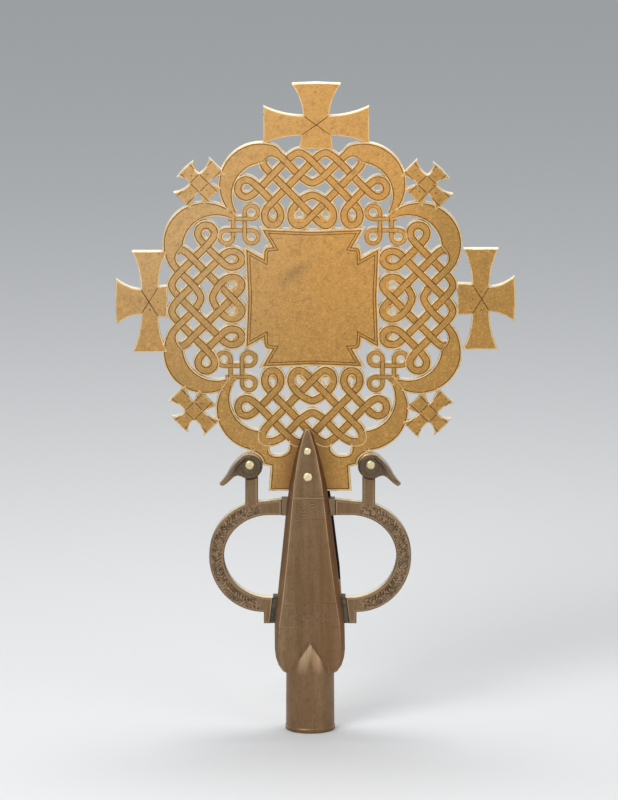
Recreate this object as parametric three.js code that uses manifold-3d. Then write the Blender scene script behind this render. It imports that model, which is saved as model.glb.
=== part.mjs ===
// A processional hand cross: a pierced brass plate gripped by a forked bronze socket, with two loop arms
// that end in bird heads. Millimetres, +Z up, the front looks along -Y, and the origin is the middle of
// the socket's bottom rim.
import * as THREE from "three";
import { mergeVertices } from "three/addons/utils/BufferGeometryUtils.js";
import Module from "manifold-3d";

const wasm = await Module();
wasm.setup();

// Fits between pieces
const gap = 0.3;

// The pierced plate
const plateThickness = 5.5;
const plateCentreZ = 252;
const plateShift = 1.2;
const panelHalfWidth = 37.4;
const panelHalfHeight = 39.4;
const panelArmHalf = 30;
const panelArmFlare = 1.2;
const panelNotchInset = 5.8;
const panelNotchDepth = 10.2;

// The interlace: a diagonal lattice of columns and rows, with row 5 next to the panel and row 1 outside
const columnPitch = 7.5;
const strandWidth = 5.8;
const loopReach = 0.61;
const loopDrop = 0.74;
const loopSeat = 0.3;
const archReach = 0.64;
const hookColumn = 3.73;
const hornColumn = 2.7;

// The crescents round each lobe, and the lobes themselves
const crescentRadius = 24.5;
const crescentHollowRadius = 18.4;
const crescentHollowShift = new THREE.Vector2(-2.4, -6.2);
const crescentTipAngle = 48;
const topLobe = { rowPitch: 7.8, crescentSide: 29, crescentRise: 17.8, panelReach: panelHalfHeight };
const bottomLobe = { rowPitch: 7.8, crescentSide: 30.6, crescentRise: 16.8, panelReach: panelHalfHeight };
const sideLobe = { rowPitch: 7.4, crescentSide: 31.3, crescentRise: 15.2, panelReach: panelHalfWidth };

// The small knot at each corner
const knotHalf = 3.3;
const knotRing = 7.1;
const knotWidth = 3.4;
const knotInset = new THREE.Vector2(2.4, 3.8);

// The flared crosses: reach and half width of each arm from the middle, and how hollow their sides are
const finialHollow = 1.3;
const finialCrown = 0.6;
const topFinial = {
  outReach: 25.2, outHalf: 13.8, sideReach: 30, sideUp: 12.2, sideDown: 9.4,
  waistUp: [7.3, 6.8], waistDown: [8.6, 4.6], footReach: 12.2, footHalf: 9.6,
};
const sideFinial = {
  outReach: 19, outHalf: 13.2, sideReach: 29.2, sideUp: 9.8, sideDown: 10.2,
  waistUp: [7.1, 4.8], waistDown: [8.8, 5.1], footHalf: 9.2,
};
const cornerFinial = {
  outReach: 11.3, outHalf: 6.7, sideReach: 14.2, sideUp: 6.4, sideDown: 7.6,
  waistUp: [3.7, 3.7], waistDown: [3.7, 3.7], footReach: 11, footHalf: 7.2,
};
const finialSink = 0.4;
const topFinialSide = 2.2;
const rightFinial = { side: 1, neck: 13.5, rise: -0.6 };
const leftFinial = { side: -1, neck: 10.1, rise: -2.2 };

// The corner crosses: which corner, and how far their middle is out from the crescents' tips
const cornerFinials = [
  { side: -1, end: 1, out: 20.1, up: 20.2 }, { side: 1, end: 1, out: 21.1, up: 19.4 },
  { side: -1, end: -1, out: 21.7, up: 19.2 }, { side: 1, end: -1, out: 20.6, up: 20.6 },
];

// The tang below the plate, in the fork of the blade: distances below the plate's middle
const tangTop = 82.2;
const tangHalfTop = 22.6;
const tangHalfBottom = 23.6;
const tangShoulder = 98.2;
const tangFootGap = 4.6;
const flangeHalf = 31;
const eyeHoleInner = 11.8;
const eyeHoleOuter = 22.6;
const eyeHoleTop = 88.8;
const eyeHoleBottom = 95.5;

// The staff socket and the blade above it
const rimRadius = 14.2;
const neckRadius = 13.7;
const boreRadius = 10.5;
const boreLength = 34;
const boreTipLength = 6;
const bladeFootZ = 33.5;
const bladeTipZ = 176;
const bladeHalfWidth = 20.1;
const bladeFootDepth = 9.5;
const bladeTipDepth = 5.9;
const bladeEdgeBevel = 3.6;
const bladeLean = -1.7;
const gableHalf = 11.4;
const gableBaseZ = 35.5;
const gableApexZ = 52.3;
const slotFloorZ = 87;

// The loop arms
const armThickness = 8;
const armBevel = 0.8;
const loopStand = 6.4;
const loopZ = 101.5;
const loopHalfWidth = 31.2;
const loopHalfHeight = 32.5;
const bandWidth = 8.5;
const hollowSetback = 3.5;
const barTopZ = 135.2;
const barFall = 1.6;
const barBottomZ = 125.8;
const tabFloorZ = 77.8;
const postX = 33.4;
const postWidth = 7.3;
const tabBottomZ = 62.4;
const tenonHeight = 6;
const tenonThickness = 5.4;
const tenonEndX = 3;
const tongueThickness = 4.8;
const solderWidth = 1.7;
const solderProud = 0.4;

// The bird heads
const headRadius = 7.6;
const headX = 34.7;
const headZ = 154.4;
const headThickness = 12;
const headBevel = 2.2;
const beakReach = 17;
const beakDrop = 11.2;
const eyeX = 34.5;
const eyeZ = 155.8;

// The rivets
const bladeRivetZ = { lower_blade_rivet: 148.9, upper_blade_rivet: 163.8 };
const bladeRivetHead = { lower_blade_rivet: 2.65, upper_blade_rivet: 2.35 };
const eyeRivetHead = 2.7;
const shankRadius = 1.4;
const rivetDome = 1.3;

// How finely curves are divided, in millimetres and degrees
const strandTolerance = 0.14;
const strandBend = 32;
const arcStep = 11;

const degrees = THREE.MathUtils.degToRad;
const point = (x, y) => new THREE.Vector2(x, y);
const mirrored = (points) => points.map((p) => point(-p.x, p.y));

function solidOf(geometry) {
  const bare = geometry.clone();
  bare.deleteAttribute("normal");
  bare.deleteAttribute("uv");
  const merged = mergeVertices(bare, 1e-5);
  const mesh = new wasm.Mesh({
    numProp: 3,
    vertProperties: merged.attributes.position.array,
    triVerts: new Uint32Array(merged.index.array),
  });
  return new wasm.Manifold(mesh);
}

function geometryOf(solid) {
  const mesh = solid.getMesh();
  const geometry = new THREE.BufferGeometry();
  geometry.setAttribute("position", new THREE.BufferAttribute(mesh.vertProperties, 3));
  geometry.setIndex(new THREE.BufferAttribute(mesh.triVerts, 1));
  geometry.computeVertexNormals();
  return geometry;
}

const joined = (solids) => solids.reduce((whole, next) => whole.add(next));

// A flat outline in x and z, given a thickness along y and centred on the plane y = 0
function slab(outline, thickness, bevel = 0) {
  const geometry = new THREE.ExtrudeGeometry(new THREE.Shape(outline), {
    depth: thickness - 2 * bevel,
    bevelEnabled: bevel > 0,
    bevelThickness: bevel,
    bevelSize: bevel,
    bevelOffset: -bevel,
    bevelSegments: 2,
  });
  return geometry.rotateX(Math.PI / 2).translate(0, thickness / 2 - bevel, 0);
}

// A body through rings of [x, y, z] points, each convex and turning the right way about the line ahead
function lofted(rings) {
  const size = rings[0].length;
  const last = (rings.length - 1) * size;
  const faces = [];
  for (let start = 0; start < last; start += size) {
    for (let i = 0; i < size; i += 1) {
      const a = start + i;
      const b = start + ((i + 1) % size);
      faces.push(a, b, b + size, a, b + size, a + size);
    }
  }
  for (let i = 1; i < size - 1; i += 1) faces.push(0, i + 1, i, last, last + i, last + i + 1);
  const geometry = new THREE.BufferGeometry();
  geometry.setAttribute("position", new THREE.Float32BufferAttribute(rings.flat(2), 3));
  geometry.setIndex(faces);
  return geometry;
}

// A copy mirrored across x, z or both, where each way is 1 or -1
function flipped(geometry, wayX, wayZ = 1) {
  const copy = geometry.clone().scale(wayX, 1, wayZ);
  if (wayX * wayZ < 0) {
    const index = copy.index.array;
    for (let i = 0; i < index.length; i += 3) [index[i], index[i + 1]] = [index[i + 1], index[i]];
    copy.computeVertexNormals();
  }
  return copy;
}

// A box between two corners in x and z, centred on the plane y = 0
function block(fromX, toX, fromZ, toZ, thickness) {
  const box = new THREE.BoxGeometry(Math.abs(toX - fromX), thickness, toZ - fromZ);
  return solidOf(box.translate((fromX + toX) / 2, 0, (fromZ + toZ) / 2));
}

function rodAlongY(radius, x, z, length) {
  return solidOf(new THREE.CylinderGeometry(radius, radius, length, 20).translate(x, 0, z));
}

function arc(centre, radiusX, radiusY, from, to, step = arcStep) {
  const steps = Math.max(2, Math.round(Math.abs(to - from) / step));
  return Array.from({ length: steps + 1 }, (_, i) => {
    const angle = degrees(from + ((to - from) * i) / steps);
    return point(centre.x + radiusX * Math.cos(angle), centre.y + radiusY * Math.sin(angle));
  });
}

// Strands

// Keeps the fewest samples whose straight runs stay within the tolerance of the line.
function thinned(samples, first, last, kept) {
  const start = samples[first].at;
  const run = samples[last].at.clone().sub(start);
  let farthest = strandTolerance;
  let index = last;
  for (let i = first + 1; i < last; i += 1) {
    const off = samples[i].at.clone().sub(start);
    const away = Math.abs(off.cross(run)) / run.length();
    if (away > farthest) {
      farthest = away;
      index = i;
    }
  }
  if (index < last) {
    thinned(samples, first, index, kept);
    thinned(samples, index, last, kept);
  } else {
    kept.push(samples[last]);
  }
}

// A strand is a flat ribbon of even width along a smooth line. Because it crosses itself, it is made
// in stretches that turn less than a half circle, each sharing one step with the next.
function strand(points, width, closed = false) {
  const line = new THREE.CatmullRomCurve3(
    points.map((p) => new THREE.Vector3(p.x, p.y, 0)), closed, "centripetal");
  const count = points.length * 8;
  const samples = Array.from({ length: count + 1 }, (_, i) => {
    const at = line.getPoint(i / count);
    const way = line.getTangent(i / count);
    const side = point(-way.y, way.x).multiplyScalar(width / 2);
    return { at: point(at.x, at.y), side, heading: Math.atan2(way.y, way.x) };
  });
  const stations = [samples[0]];
  const half = Math.floor(count / 2) + 1;
  thinned(samples, 0, half, stations);
  thinned(samples, half, count, stations);
  const ring = ({ at, side }) => [
    [at.x - side.x, -plateThickness / 2, at.y - side.y],
    [at.x - side.x, plateThickness / 2, at.y - side.y],
    [at.x + side.x, plateThickness / 2, at.y + side.y],
    [at.x + side.x, -plateThickness / 2, at.y + side.y],
  ];
  const stretches = [];
  let from = 0;
  let turned = 0;
  for (let i = 1; i < stations.length; i += 1) {
    const turn = Math.abs(stations[i].heading - stations[i - 1].heading);
    turned += Math.min(turn, 2 * Math.PI - turn);
    if (turned > degrees(110) || i === stations.length - 1) {
      stretches.push(lofted(stations.slice(Math.max(0, from - 1), i + 1).map(ring)));
      from = i;
      turned = 0;
    }
  }
  return stretches;
}

// A lobe, drawn outwards from the plate's middle along +z. Columns count sideways and rows inwards,
// and strands cross where a column and a row add up to an odd number.
function lobe({ rowPitch, crescentSide, crescentRise, panelReach }) {
  const rowFive = panelReach + loopDrop * rowPitch + strandWidth / 2 - loopSeat;
  const cell = (column, row) => point(column * columnPitch, rowFive + (5 - row) * rowPitch);
  const bend = (column, row, reach, drop, from, to) =>
    arc(cell(column, row), reach * columnPitch, drop * rowPitch, from, to, strandBend);

  // The closed strand goes from the middle crossing out to a teardrop loop, a round loop and an arch,
  // and then the same way round the other side.
  const rightHalf = [
    cell(0, 1), cell(1, 2), cell(2, 3), cell(3, 4),
    ...bend(3, 5, loopReach, loopDrop, 38, -218),
    cell(3, 4), cell(4, 3),
    ...bend(5, 3, archReach, archReach, 125, -125),
    cell(4, 3), cell(3, 2), cell(2, 1),
    ...bend(1, 1, archReach, archReach, 50, 130),
  ];
  const closedStrand = strand([...rightHalf, ...mirrored(rightHalf)], strandWidth, true);

  // The horn strand runs off one crescent, dips in a U between the arches and runs up the other.
  const horn = [cell(3.6, 0.15), cell(3, 0.28), cell(2.5, 0.55), cell(2, 1), cell(1, 2)];
  const hornStrand = strand(
    [...horn, ...bend(0, 2, 0.62, 0.58, -45, -135), ...mirrored(horn).reverse()], strandWidth);

  // The hook strand starts under one crescent, ties the pretzel next to the panel and ends under
  // the other.
  const hook = [
    cell(hookColumn, 0.7), cell(hookColumn, 1.1), cell(hookColumn - 0.23, 1.5),
    cell(3, 2), cell(2, 3), cell(1, 4),
  ];
  const pretzel = [cell(0, 5), ...bend(-1, 5, loopReach, loopDrop, -52, -218), cell(-1, 4)];
  const hookStrand = strand([
    ...hook, ...pretzel,
    ...bend(0, 4, 0.6, 0.51, 130, 50),
    ...mirrored(pretzel).reverse(), ...mirrored(hook).reverse(),
  ], strandWidth);

  // Each crescent lies between a large circle and a smaller one set lower and further in.
  const outer = point(crescentSide, rowFive + crescentRise);
  const inner = outer.clone().add(crescentHollowShift);
  const outerStart = Math.acos((hornColumn * columnPitch - outer.x) / crescentRadius);
  const innerStart = Math.acos((hookColumn * columnPitch - inner.x) / crescentHollowRadius);
  const tipWay = point(Math.cos(degrees(crescentTipAngle)), -Math.sin(degrees(crescentTipAngle)));
  const along = crescentHollowShift.dot(tipWay);
  const innerReach = along + Math.sqrt(
    crescentHollowRadius ** 2 - crescentHollowShift.lengthSq() + along ** 2);
  const innerTip = outer.clone().addScaledVector(tipWay, innerReach).sub(inner);
  const crescent = [
    ...arc(outer, crescentRadius, crescentRadius, outerStart / degrees(1), -crescentTipAngle),
    ...arc(inner, crescentHollowRadius, crescentHollowRadius,
      Math.atan2(innerTip.y, innerTip.x) / degrees(1), innerStart / degrees(1)),
  ];
  return {
    slabs: [
      ...closedStrand, ...hornStrand, ...hookStrand,
      slab(crescent, plateThickness), slab(mirrored(crescent), plateThickness),
    ],
    tip: outer.clone().addScaledVector(tipWay, (crescentRadius + innerReach) / 2),
    crown: cell(1, 1).y + archReach * columnPitch + strandWidth / 2,
  };
}

// The corner knot is one thin strand from crescent tip to crescent tip. It crosses itself four times
// round a square eye and has a ring at three corners. x and z are both measured outwards.
function cornerKnot(cornerAt) {
  const middle = cornerAt.clone().sub(knotInset);
  const ringRadius = knotRing - knotHalf;
  const ring = (wayX, wayZ, from, to) => {
    const centre = middle.clone().add(point(wayX * knotRing, wayZ * knotRing));
    return arc(centre, ringRadius, ringRadius, from, to, strandBend);
  };
  const crossing = (x, z) => middle.clone().add(point(x * knotHalf, z * knotHalf));
  return strand([
    crossing(1, 1.8), crossing(1, 1), crossing(1, -1),
    ...ring(1, -1, 180, 450),
    crossing(1, -1), crossing(-1, -1),
    ...ring(-1, -1, 90, 360),
    crossing(-1, -1), crossing(-1, 1),
    ...ring(-1, 1, 0, 270),
    crossing(-1, 1), crossing(1, 1), crossing(1.8, 1),
  ], knotWidth);
}

// A flared cross with hollow sides, drawn with its outer arm along +z and its foot along -z
function flaredCross(f) {
  const hollowEdge = (from, to) => {
    const chord = to.clone().sub(from);
    const middle = from.clone().add(to).multiplyScalar(0.5);
    const inward = point(chord.y, -chord.x).normalize();
    if (inward.dot(middle) > 0) inward.negate();
    const control = middle.addScaledVector(inward, 2 * finialHollow);
    return new THREE.QuadraticBezierCurve(from, control, to).getPoints(4);
  };
  const waistUp = point(...f.waistUp);
  const waistDown = point(f.waistDown[0], -f.waistDown[1]);
  const half = [
    point(f.footHalf, -f.footReach),
    ...hollowEdge(waistDown, point(f.sideReach, -f.sideDown)),
    ...hollowEdge(point(f.sideReach, f.sideUp), waistUp),
    ...hollowEdge(waistUp, point(f.outHalf, f.outReach)).slice(1),
  ];
  return [...half, point(0, f.outReach + finialCrown), ...mirrored(half).reverse()];
}

// The central panel has four arms that flare at their ends, with a scalloped notch between them.
function panelOutline() {
  const topEnd = point(panelArmHalf, panelHalfHeight + panelArmFlare);
  const sideEnd = point(panelHalfWidth + panelArmFlare, panelArmHalf);
  const topNotch = topEnd.clone().sub(point(panelNotchInset, panelNotchDepth));
  const sideNotch = sideEnd.clone().sub(point(panelNotchDepth, panelNotchInset));
  const scallop = new THREE.QuadraticBezierCurve(
    topNotch, point(sideNotch.x, topNotch.y), sideNotch).getPoints(5);
  const upper = [point(0, panelHalfHeight), topEnd, ...scallop, sideEnd];
  const lower = upper.map((p) => point(p.x, -p.y)).reverse();
  const right = [...upper, point(panelHalfWidth, 0), ...lower];
  return [...right, ...mirrored(right).reverse().slice(1, -1)];
}

// The tang and the flange above it, with the openings left between the flange and the interlace
function tang() {
  const tangReach = plateCentreZ - barTopZ - tangFootGap;
  const half = [
    point(flangeHalf + 4, -tangTop),
    point(flangeHalf + 3.6, -tangShoulder + 11.5),
    point(flangeHalf, -tangShoulder + 2.4),
    point(tangHalfTop, -tangShoulder),
    point(tangHalfBottom, -tangReach),
  ];
  const eye = [
    point(eyeHoleInner, -tangTop + 2),
    ...new THREE.QuadraticBezierCurve(
      point(eyeHoleInner, -eyeHoleTop), point((eyeHoleInner + eyeHoleOuter) / 2, -eyeHoleBottom),
      point(eyeHoleOuter, -eyeHoleTop)).getPoints(6),
    point(eyeHoleOuter, -tangTop + 2),
  ];
  const eyeCut = (points) => solidOf(slab(points, plateThickness * 2));
  const body = slab([...half, ...mirrored(half).reverse()], plateThickness);
  return solidOf(body.translate(-plateShift, 0, 0)).subtract(eyeCut(eye)).subtract(eyeCut(mirrored(eye)));
}

// The whole plate, drawn round its own middle
function crossPlate() {
  const turned = (geometry, turn, x = 0, z = 0) =>
    solidOf(geometry.clone().rotateY(degrees(turn)).translate(x, 0, z));
  const [top, bottom, side] = [topLobe, bottomLobe, sideLobe].map(lobe);
  const corner = slab(flaredCross(cornerFinial), plateThickness);
  const cornerAt = (upright) => point(upright.tip.x, side.tip.x);
  const topCross = slab(flaredCross(topFinial), plateThickness);
  const topCrossZ = top.crown - finialSink + topFinial.footReach;
  const sideCross = (finial) => turned(
    slab(flaredCross({ ...sideFinial, footReach: finial.neck }), plateThickness),
    90 * finial.side, finial.side * (side.crown - finialSink + finial.neck), finial.rise);
  const solids = [
    solidOf(slab(panelOutline(), plateThickness)),
    tang(),
    ...top.slabs.map((s) => turned(s, 0)),
    ...bottom.slabs.map((s) => turned(s, 180)),
    ...side.slabs.flatMap((s) => [turned(s, 90), turned(s, -90)]),
    turned(topCross, 0, topFinialSide, topCrossZ),
    sideCross(leftFinial),
    sideCross(rightFinial),
  ];
  for (const finial of cornerFinials) {
    const tips = cornerAt(finial.end > 0 ? top : bottom);
    const knot = cornerKnot(tips);
    solids.push(...knot.map((s) => solidOf(flipped(s, finial.side, finial.end))));
    const turn = finial.side * (finial.end > 0 ? 45 : 135);
    const [x, z] = [finial.side * (tips.x + finial.out), finial.end * (tips.y + finial.up)];
    solids.push(turned(corner, turn, x, z));
  }
  const through = (radius, x, z) =>
    rodAlongY(radius, x - plateShift, z - plateCentreZ, plateThickness * 2);
  let plate = joined(solids);
  for (const z of Object.values(bladeRivetZ)) {
    plate = plate.subtract(through(shankRadius + gap, bladeAt(z).lean, z));
  }
  for (const wayX of [1, -1]) plate = plate.subtract(through(headRadius + gap, wayX * headX, headZ));
  return plate;
}

// The socket and the blade

// Sections of the blade from its foot to its tip: height as a share of the blade's height, half width
// at the side edges as a share of the widest, and how far the flat front face stands in from them.
const bladeSections = [
  [0, 0.65, 2], [0.0105, 0.776, 2], [0.035, 0.896, 2], [0.067, 0.97, 2], [0.102, 1, 2],
  [0.2, 0.995, 2.6], [0.256, 0.965, 3.1], [0.326, 0.896, 3.2], [0.474, 0.776, 3.3],
  [0.691, 0.607, 3], [0.782, 0.512, 2.4], [0.86, 0.393, 1.7], [0.916, 0.294, 1.2],
  [0.972, 0.169, 0.8], [1, 0.07, 0.4],
].map(([share, width, inset]) => {
  const z = bladeFootZ + share * (bladeTipZ - bladeFootZ);
  const depth = THREE.MathUtils.lerp(bladeFootDepth, bladeTipDepth, share);
  const edge = bladeHalfWidth * width;
  return { z, edge, front: edge - inset, depth, lean: share * bladeLean };
});

function bladeAt(z) {
  const above = bladeSections.findIndex((s) => s.z >= z);
  const [low, high] = [bladeSections[above - 1], bladeSections[above]];
  const share = (z - low.z) / (high.z - low.z);
  return {
    edge: THREE.MathUtils.lerp(low.edge, high.edge, share),
    depth: THREE.MathUtils.lerp(low.depth, high.depth, share),
    lean: THREE.MathUtils.lerp(low.lean, high.lean, share),
  };
}

// How far the blade's edge is from the socket's axis, where side is 1 on the right and -1 on the left
function bladeSide(z, side) {
  const { edge, lean } = bladeAt(z);
  return edge + side * lean;
}

function bladeBody() {
  return solidOf(lofted(bladeSections.map(({ z, edge, front, depth, lean }) => {
    const shoulder = depth - bladeEdgeBevel * Math.min(1, edge / bladeEdgeBevel);
    return [
      [-front, -depth, z], [front, -depth, z], [edge, -shoulder, z], [edge, shoulder, z],
      [front, depth, z], [-front, depth, z], [-edge, shoulder, z], [-edge, -shoulder, z],
    ].map(([x, y, height]) => [x + lean, y, height]);
  })));
}

// A solid turned round the z axis from a profile of [radius, height]
function turnedRound(profile, segments) {
  const lathe = new THREE.LatheGeometry(profile.map(([r, z]) => point(r, z)), segments);
  return solidOf(lathe.rotateX(Math.PI / 2));
}

function socket() {
  const round = turnedRound(
    [[0, 0], [rimRadius, 0], [neckRadius, bladeFootZ], [neckRadius, gableApexZ], [0, gableApexZ]], 48);
  const belowGable = joined([
    block(-rimRadius - 1, rimRadius + 1, -1, gableBaseZ, rimRadius * 2.2),
    solidOf(slab(
      [point(-gableHalf, gableBaseZ - 1), point(gableHalf, gableBaseZ - 1), point(gableHalf, gableBaseZ),
        point(0, gableApexZ), point(-gableHalf, gableBaseZ)],
      rimRadius * 2.2)),
  ]);
  const bore = turnedRound(
    [[0, -1], [boreRadius, -1], [boreRadius, boreLength], [0, boreLength + boreTipLength]], 64);
  const slot = block(
    -bladeHalfWidth - 1, bladeHalfWidth + 1, slotFloorZ, bladeTipZ + 1, plateThickness + 2 * gap);
  let whole = round.intersect(belowGable).add(bladeBody()).subtract(bore).subtract(slot);
  for (const z of Object.values(bladeRivetZ)) {
    whole = whole.subtract(rodAlongY(shankRadius + gap, bladeAt(z).lean, z, bladeFootDepth * 3));
  }
  return whole;
}

// The loop arms, drawn to the right even for the left side, which is mirrored at the end

const loopX = bladeHalfWidth + loopStand;
const hollowX = loopX - hollowSetback;
const solderRoom = solderWidth + 2 * gap;
const tongueTopZ = eyeZ + 3.2;
const postTopZ = headZ - headRadius - gap - 0.4;
const tenonMiddleZ = (barTopZ + barBottomZ) / 2;
const shoulderX = (side) => bladeSide(barBottomZ, side) + solderRoom;
const tabFaceX = (z, side) => bladeSide(z, side) + solderRoom;

function loopArm(side) {
  const hollowZ = (barBottomZ + tabFloorZ) / 2;
  const hollowHalfHeight = (barBottomZ - tabFloorZ) / 2;
  const hollowHalfWidth = loopX + loopHalfWidth - bandWidth - hollowX;
  const angleAt = (x) => Math.acos((x - loopX) / loopHalfWidth) / degrees(1);
  const postInner = postX - postWidth / 2;
  const postOuter = postX + postWidth / 2;
  const outline = [
    point(shoulderX(side), barTopZ),
    point(postInner, barTopZ - barFall),
    point(postInner, postTopZ),
    point(postOuter, postTopZ),
    ...arc(point(loopX, loopZ), loopHalfWidth, loopHalfHeight, angleAt(postOuter), -90),
    point(loopX, tabBottomZ),
    point(tabFaceX(tabBottomZ, side), tabBottomZ),
    point(tabFaceX(tabFloorZ, side), tabFloorZ),
    ...arc(point(hollowX, hollowZ), hollowHalfWidth, hollowHalfHeight, -90, 90),
    point(shoulderX(side), barBottomZ),
  ];
  const tongue = block(postInner, postOuter, postTopZ - 3, tongueTopZ, tongueThickness);
  const tenon = block(
    tenonEndX, shoulderX(side) + 3,
    tenonMiddleZ - tenonHeight / 2, tenonMiddleZ + tenonHeight / 2, tenonThickness);
  return solidOf(slab(outline, armThickness, armBevel))
    .add(tongue)
    .add(tenon)
    .subtract(rodAlongY(shankRadius + gap, eyeX, eyeZ, armThickness * 2));
}

// Solder round the tenon, between the blade's edge and the crossbar's shoulder
function upperSolder(side) {
  const [low, high] = [barBottomZ - solderProud, barTopZ + solderProud];
  const outline = [
    point(bladeSide(low, side) + gap, low), point(shoulderX(side) - gap, low),
    point(shoulderX(side) - gap, high), point(bladeSide(high, side) + gap, high),
  ];
  const reach = tenonHeight / 2 + gap;
  return solidOf(slab(outline, armThickness + 2 * solderProud)).subtract(
    block(0, shoulderX(side) + 1, tenonMiddleZ - reach, tenonMiddleZ + reach, tenonThickness + 2 * gap));
}

// Solder between the blade's edge and the foot tab
function lowerSolder(side) {
  const [low, high] = [tabBottomZ + solderProud, tabFloorZ + solderProud];
  const middle = (low + high) / 2;
  const outline = [
    ...[low, middle, high].map((z) => point(bladeSide(z, side) + gap, z)),
    ...[high, middle, low].map((z) => point(tabFaceX(z, side) - gap, z)),
  ];
  return solidOf(slab(outline, armThickness + 2 * solderProud));
}

// A bird's head is a thick rounded disc with a drooping beak, forked over the tongue of its post.
// Sections of the beak: its upper and lower edges from the head's middle, and its half thickness.
const beakSections = [
  [[2.2, 6.6], [0.3, 0.8], 4.6],
  [[7, 3.5], [4.4, -3.4], 4.2],
  [[11.6, -1.4], [8.4, -6.4], 3.2],
  [[beakReach, 1.4 - beakDrop], [beakReach - 3.2, -beakDrop - 0.8], 1.6],
];

function birdHead() {
  const rounding = arc(point(headRadius - headBevel, headThickness / 2 - headBevel), headBevel, headBevel, 0, 90, 30);
  const profile = [
    point(0, -headThickness / 2),
    ...rounding.map((p) => point(p.x, -p.y)).reverse(),
    ...rounding,
    point(0, headThickness / 2),
  ];
  const disc = new THREE.LatheGeometry(profile, 28).translate(headX, 0, headZ);
  const beak = lofted(beakSections.map(([upper, lower, half]) => {
    const [middleX, middleZ] = [(upper[0] + lower[0]) / 2, (upper[1] + lower[1]) / 2];
    const around = [
      [...lower, -0.55], [...lower, 0.55], [middleX, middleZ, 1],
      [...upper, 0.55], [...upper, -0.55], [middleX, middleZ, -1],
    ];
    return around.map(([x, z, share]) => [headX + x, share * half, headZ + z]);
  }));
  const reach = postWidth / 2 + gap;
  const fork = block(
    postX - reach, postX + reach, headZ - headRadius - 1, tongueTopZ + gap,
    tongueThickness + 2 * gap);
  return solidOf(disc)
    .add(solidOf(beak))
    .subtract(fork)
    .subtract(rodAlongY(shankRadius + gap, eyeX, eyeZ, headThickness * 2));
}

// A rivet along y with a low dome on each end, where grip is half the thickness that it holds
function rivet(headSize, grip) {
  const dome = arc(point(0, 0), headSize, rivetDome, 0, 90, 22.5);
  const front = dome.map((p) => point(p.x, -p.y - grip)).reverse();
  const back = dome.map((p) => point(p.x, p.y + grip));
  front[0].x = 0;
  back[back.length - 1].x = 0;
  const shank = [point(shankRadius, -grip), point(shankRadius, grip)];
  return new THREE.LatheGeometry([...front, ...shank, ...back], 16);
}

// The finishes and the assembly

const metal = (colour, roughness) => new THREE.MeshStandardMaterial({ color: colour, roughness, metalness: 1 });
const goldenBrass = metal(0xc49a5c, 0.42);
const brownBronze = metal(0x82684c, 0.45);
const paleBrass = metal(0xdfd096, 0.35);
const greySolder = metal(0x6f6a58, 0.6);

function named(name, geometry, material) {
  const mesh = new THREE.Mesh(geometry, material);
  mesh.name = name;
  return mesh;
}

const group = new THREE.Group();
const plate = named("cross_plate", geometryOf(crossPlate()), goldenBrass);
plate.position.set(plateShift, 0, plateCentreZ);
group.add(plate);
group.add(named("socket", geometryOf(socket()), brownBronze));
for (const [name, z] of Object.entries(bladeRivetZ)) {
  const mesh = named(name, rivet(bladeRivetHead[name], bladeAt(z).depth + gap), paleBrass);
  mesh.position.set(bladeAt(z).lean, 0, z);
  group.add(mesh);
}
const armPieces = [
  ["loop_arm", loopArm, brownBronze],
  ["bird_head", birdHead, brownBronze],
  ["upper_solder", upperSolder, greySolder],
  ["lower_solder", lowerSolder, greySolder],
];
for (const [word, side] of [["left", -1], ["right", 1]]) {
  for (const [name, build, material] of armPieces) {
    group.add(named(`${word}_${name}`, flipped(geometryOf(build(side)), side), material));
  }
  const eye = named(`${word}_eye_rivet`, rivet(eyeRivetHead, headThickness / 2 + gap), paleBrass);
  eye.position.set(side * eyeX, 0, eyeZ);
  group.add(eye);
}

export default group;
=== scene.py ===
# %% [markdown]
# # A processional cross of pierced brass, gripped by a forked bronze socket
#
# The cross is a brass plate five millimetres thick, sawn and filed into woven bands. Its tang is
# gripped by a cast bronze blade, which stands on a round socket for a wooden staff. A loop arm on each
# side ends in a bird head. Each piece is first explained, then made and measured.
#
# The imported CAD model comes first. It gives every piece its place.

# %% The frame
import math
import random

import bpy
import numpy as np
from mathutils import Matrix, Vector, noise


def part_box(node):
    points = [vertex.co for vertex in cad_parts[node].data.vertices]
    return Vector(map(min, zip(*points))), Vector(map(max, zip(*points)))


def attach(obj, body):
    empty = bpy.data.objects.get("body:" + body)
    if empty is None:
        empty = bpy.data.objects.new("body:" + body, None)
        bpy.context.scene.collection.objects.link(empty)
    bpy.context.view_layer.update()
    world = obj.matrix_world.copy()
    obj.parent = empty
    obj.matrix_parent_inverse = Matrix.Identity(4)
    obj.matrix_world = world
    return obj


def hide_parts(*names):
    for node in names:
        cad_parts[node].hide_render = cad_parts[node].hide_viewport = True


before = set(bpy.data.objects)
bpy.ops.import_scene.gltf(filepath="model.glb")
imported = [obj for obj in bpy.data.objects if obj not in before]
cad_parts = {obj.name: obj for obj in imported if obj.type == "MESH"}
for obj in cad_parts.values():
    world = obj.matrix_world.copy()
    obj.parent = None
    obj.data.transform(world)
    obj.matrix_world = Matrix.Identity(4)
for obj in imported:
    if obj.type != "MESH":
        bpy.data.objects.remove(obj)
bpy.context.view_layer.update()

# %% [markdown]
# ## Sizes and the two drawing boards
#
# The cross is nearly flat, so each piece is drawn on a board: across, up, and height towards the
# viewer, all in millimetres. One board has its middle in the plate's middle, the other in the middle
# of the socket's rim. A matrix then stands a finished drawing upright in the frame, in metres.

# %% Drawing boards
MM = 0.001
PLATE_MIDDLE_Z = 252
PLATE_SHIFT = 1.2
# The play between two pieces
GAP = 0.3


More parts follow.
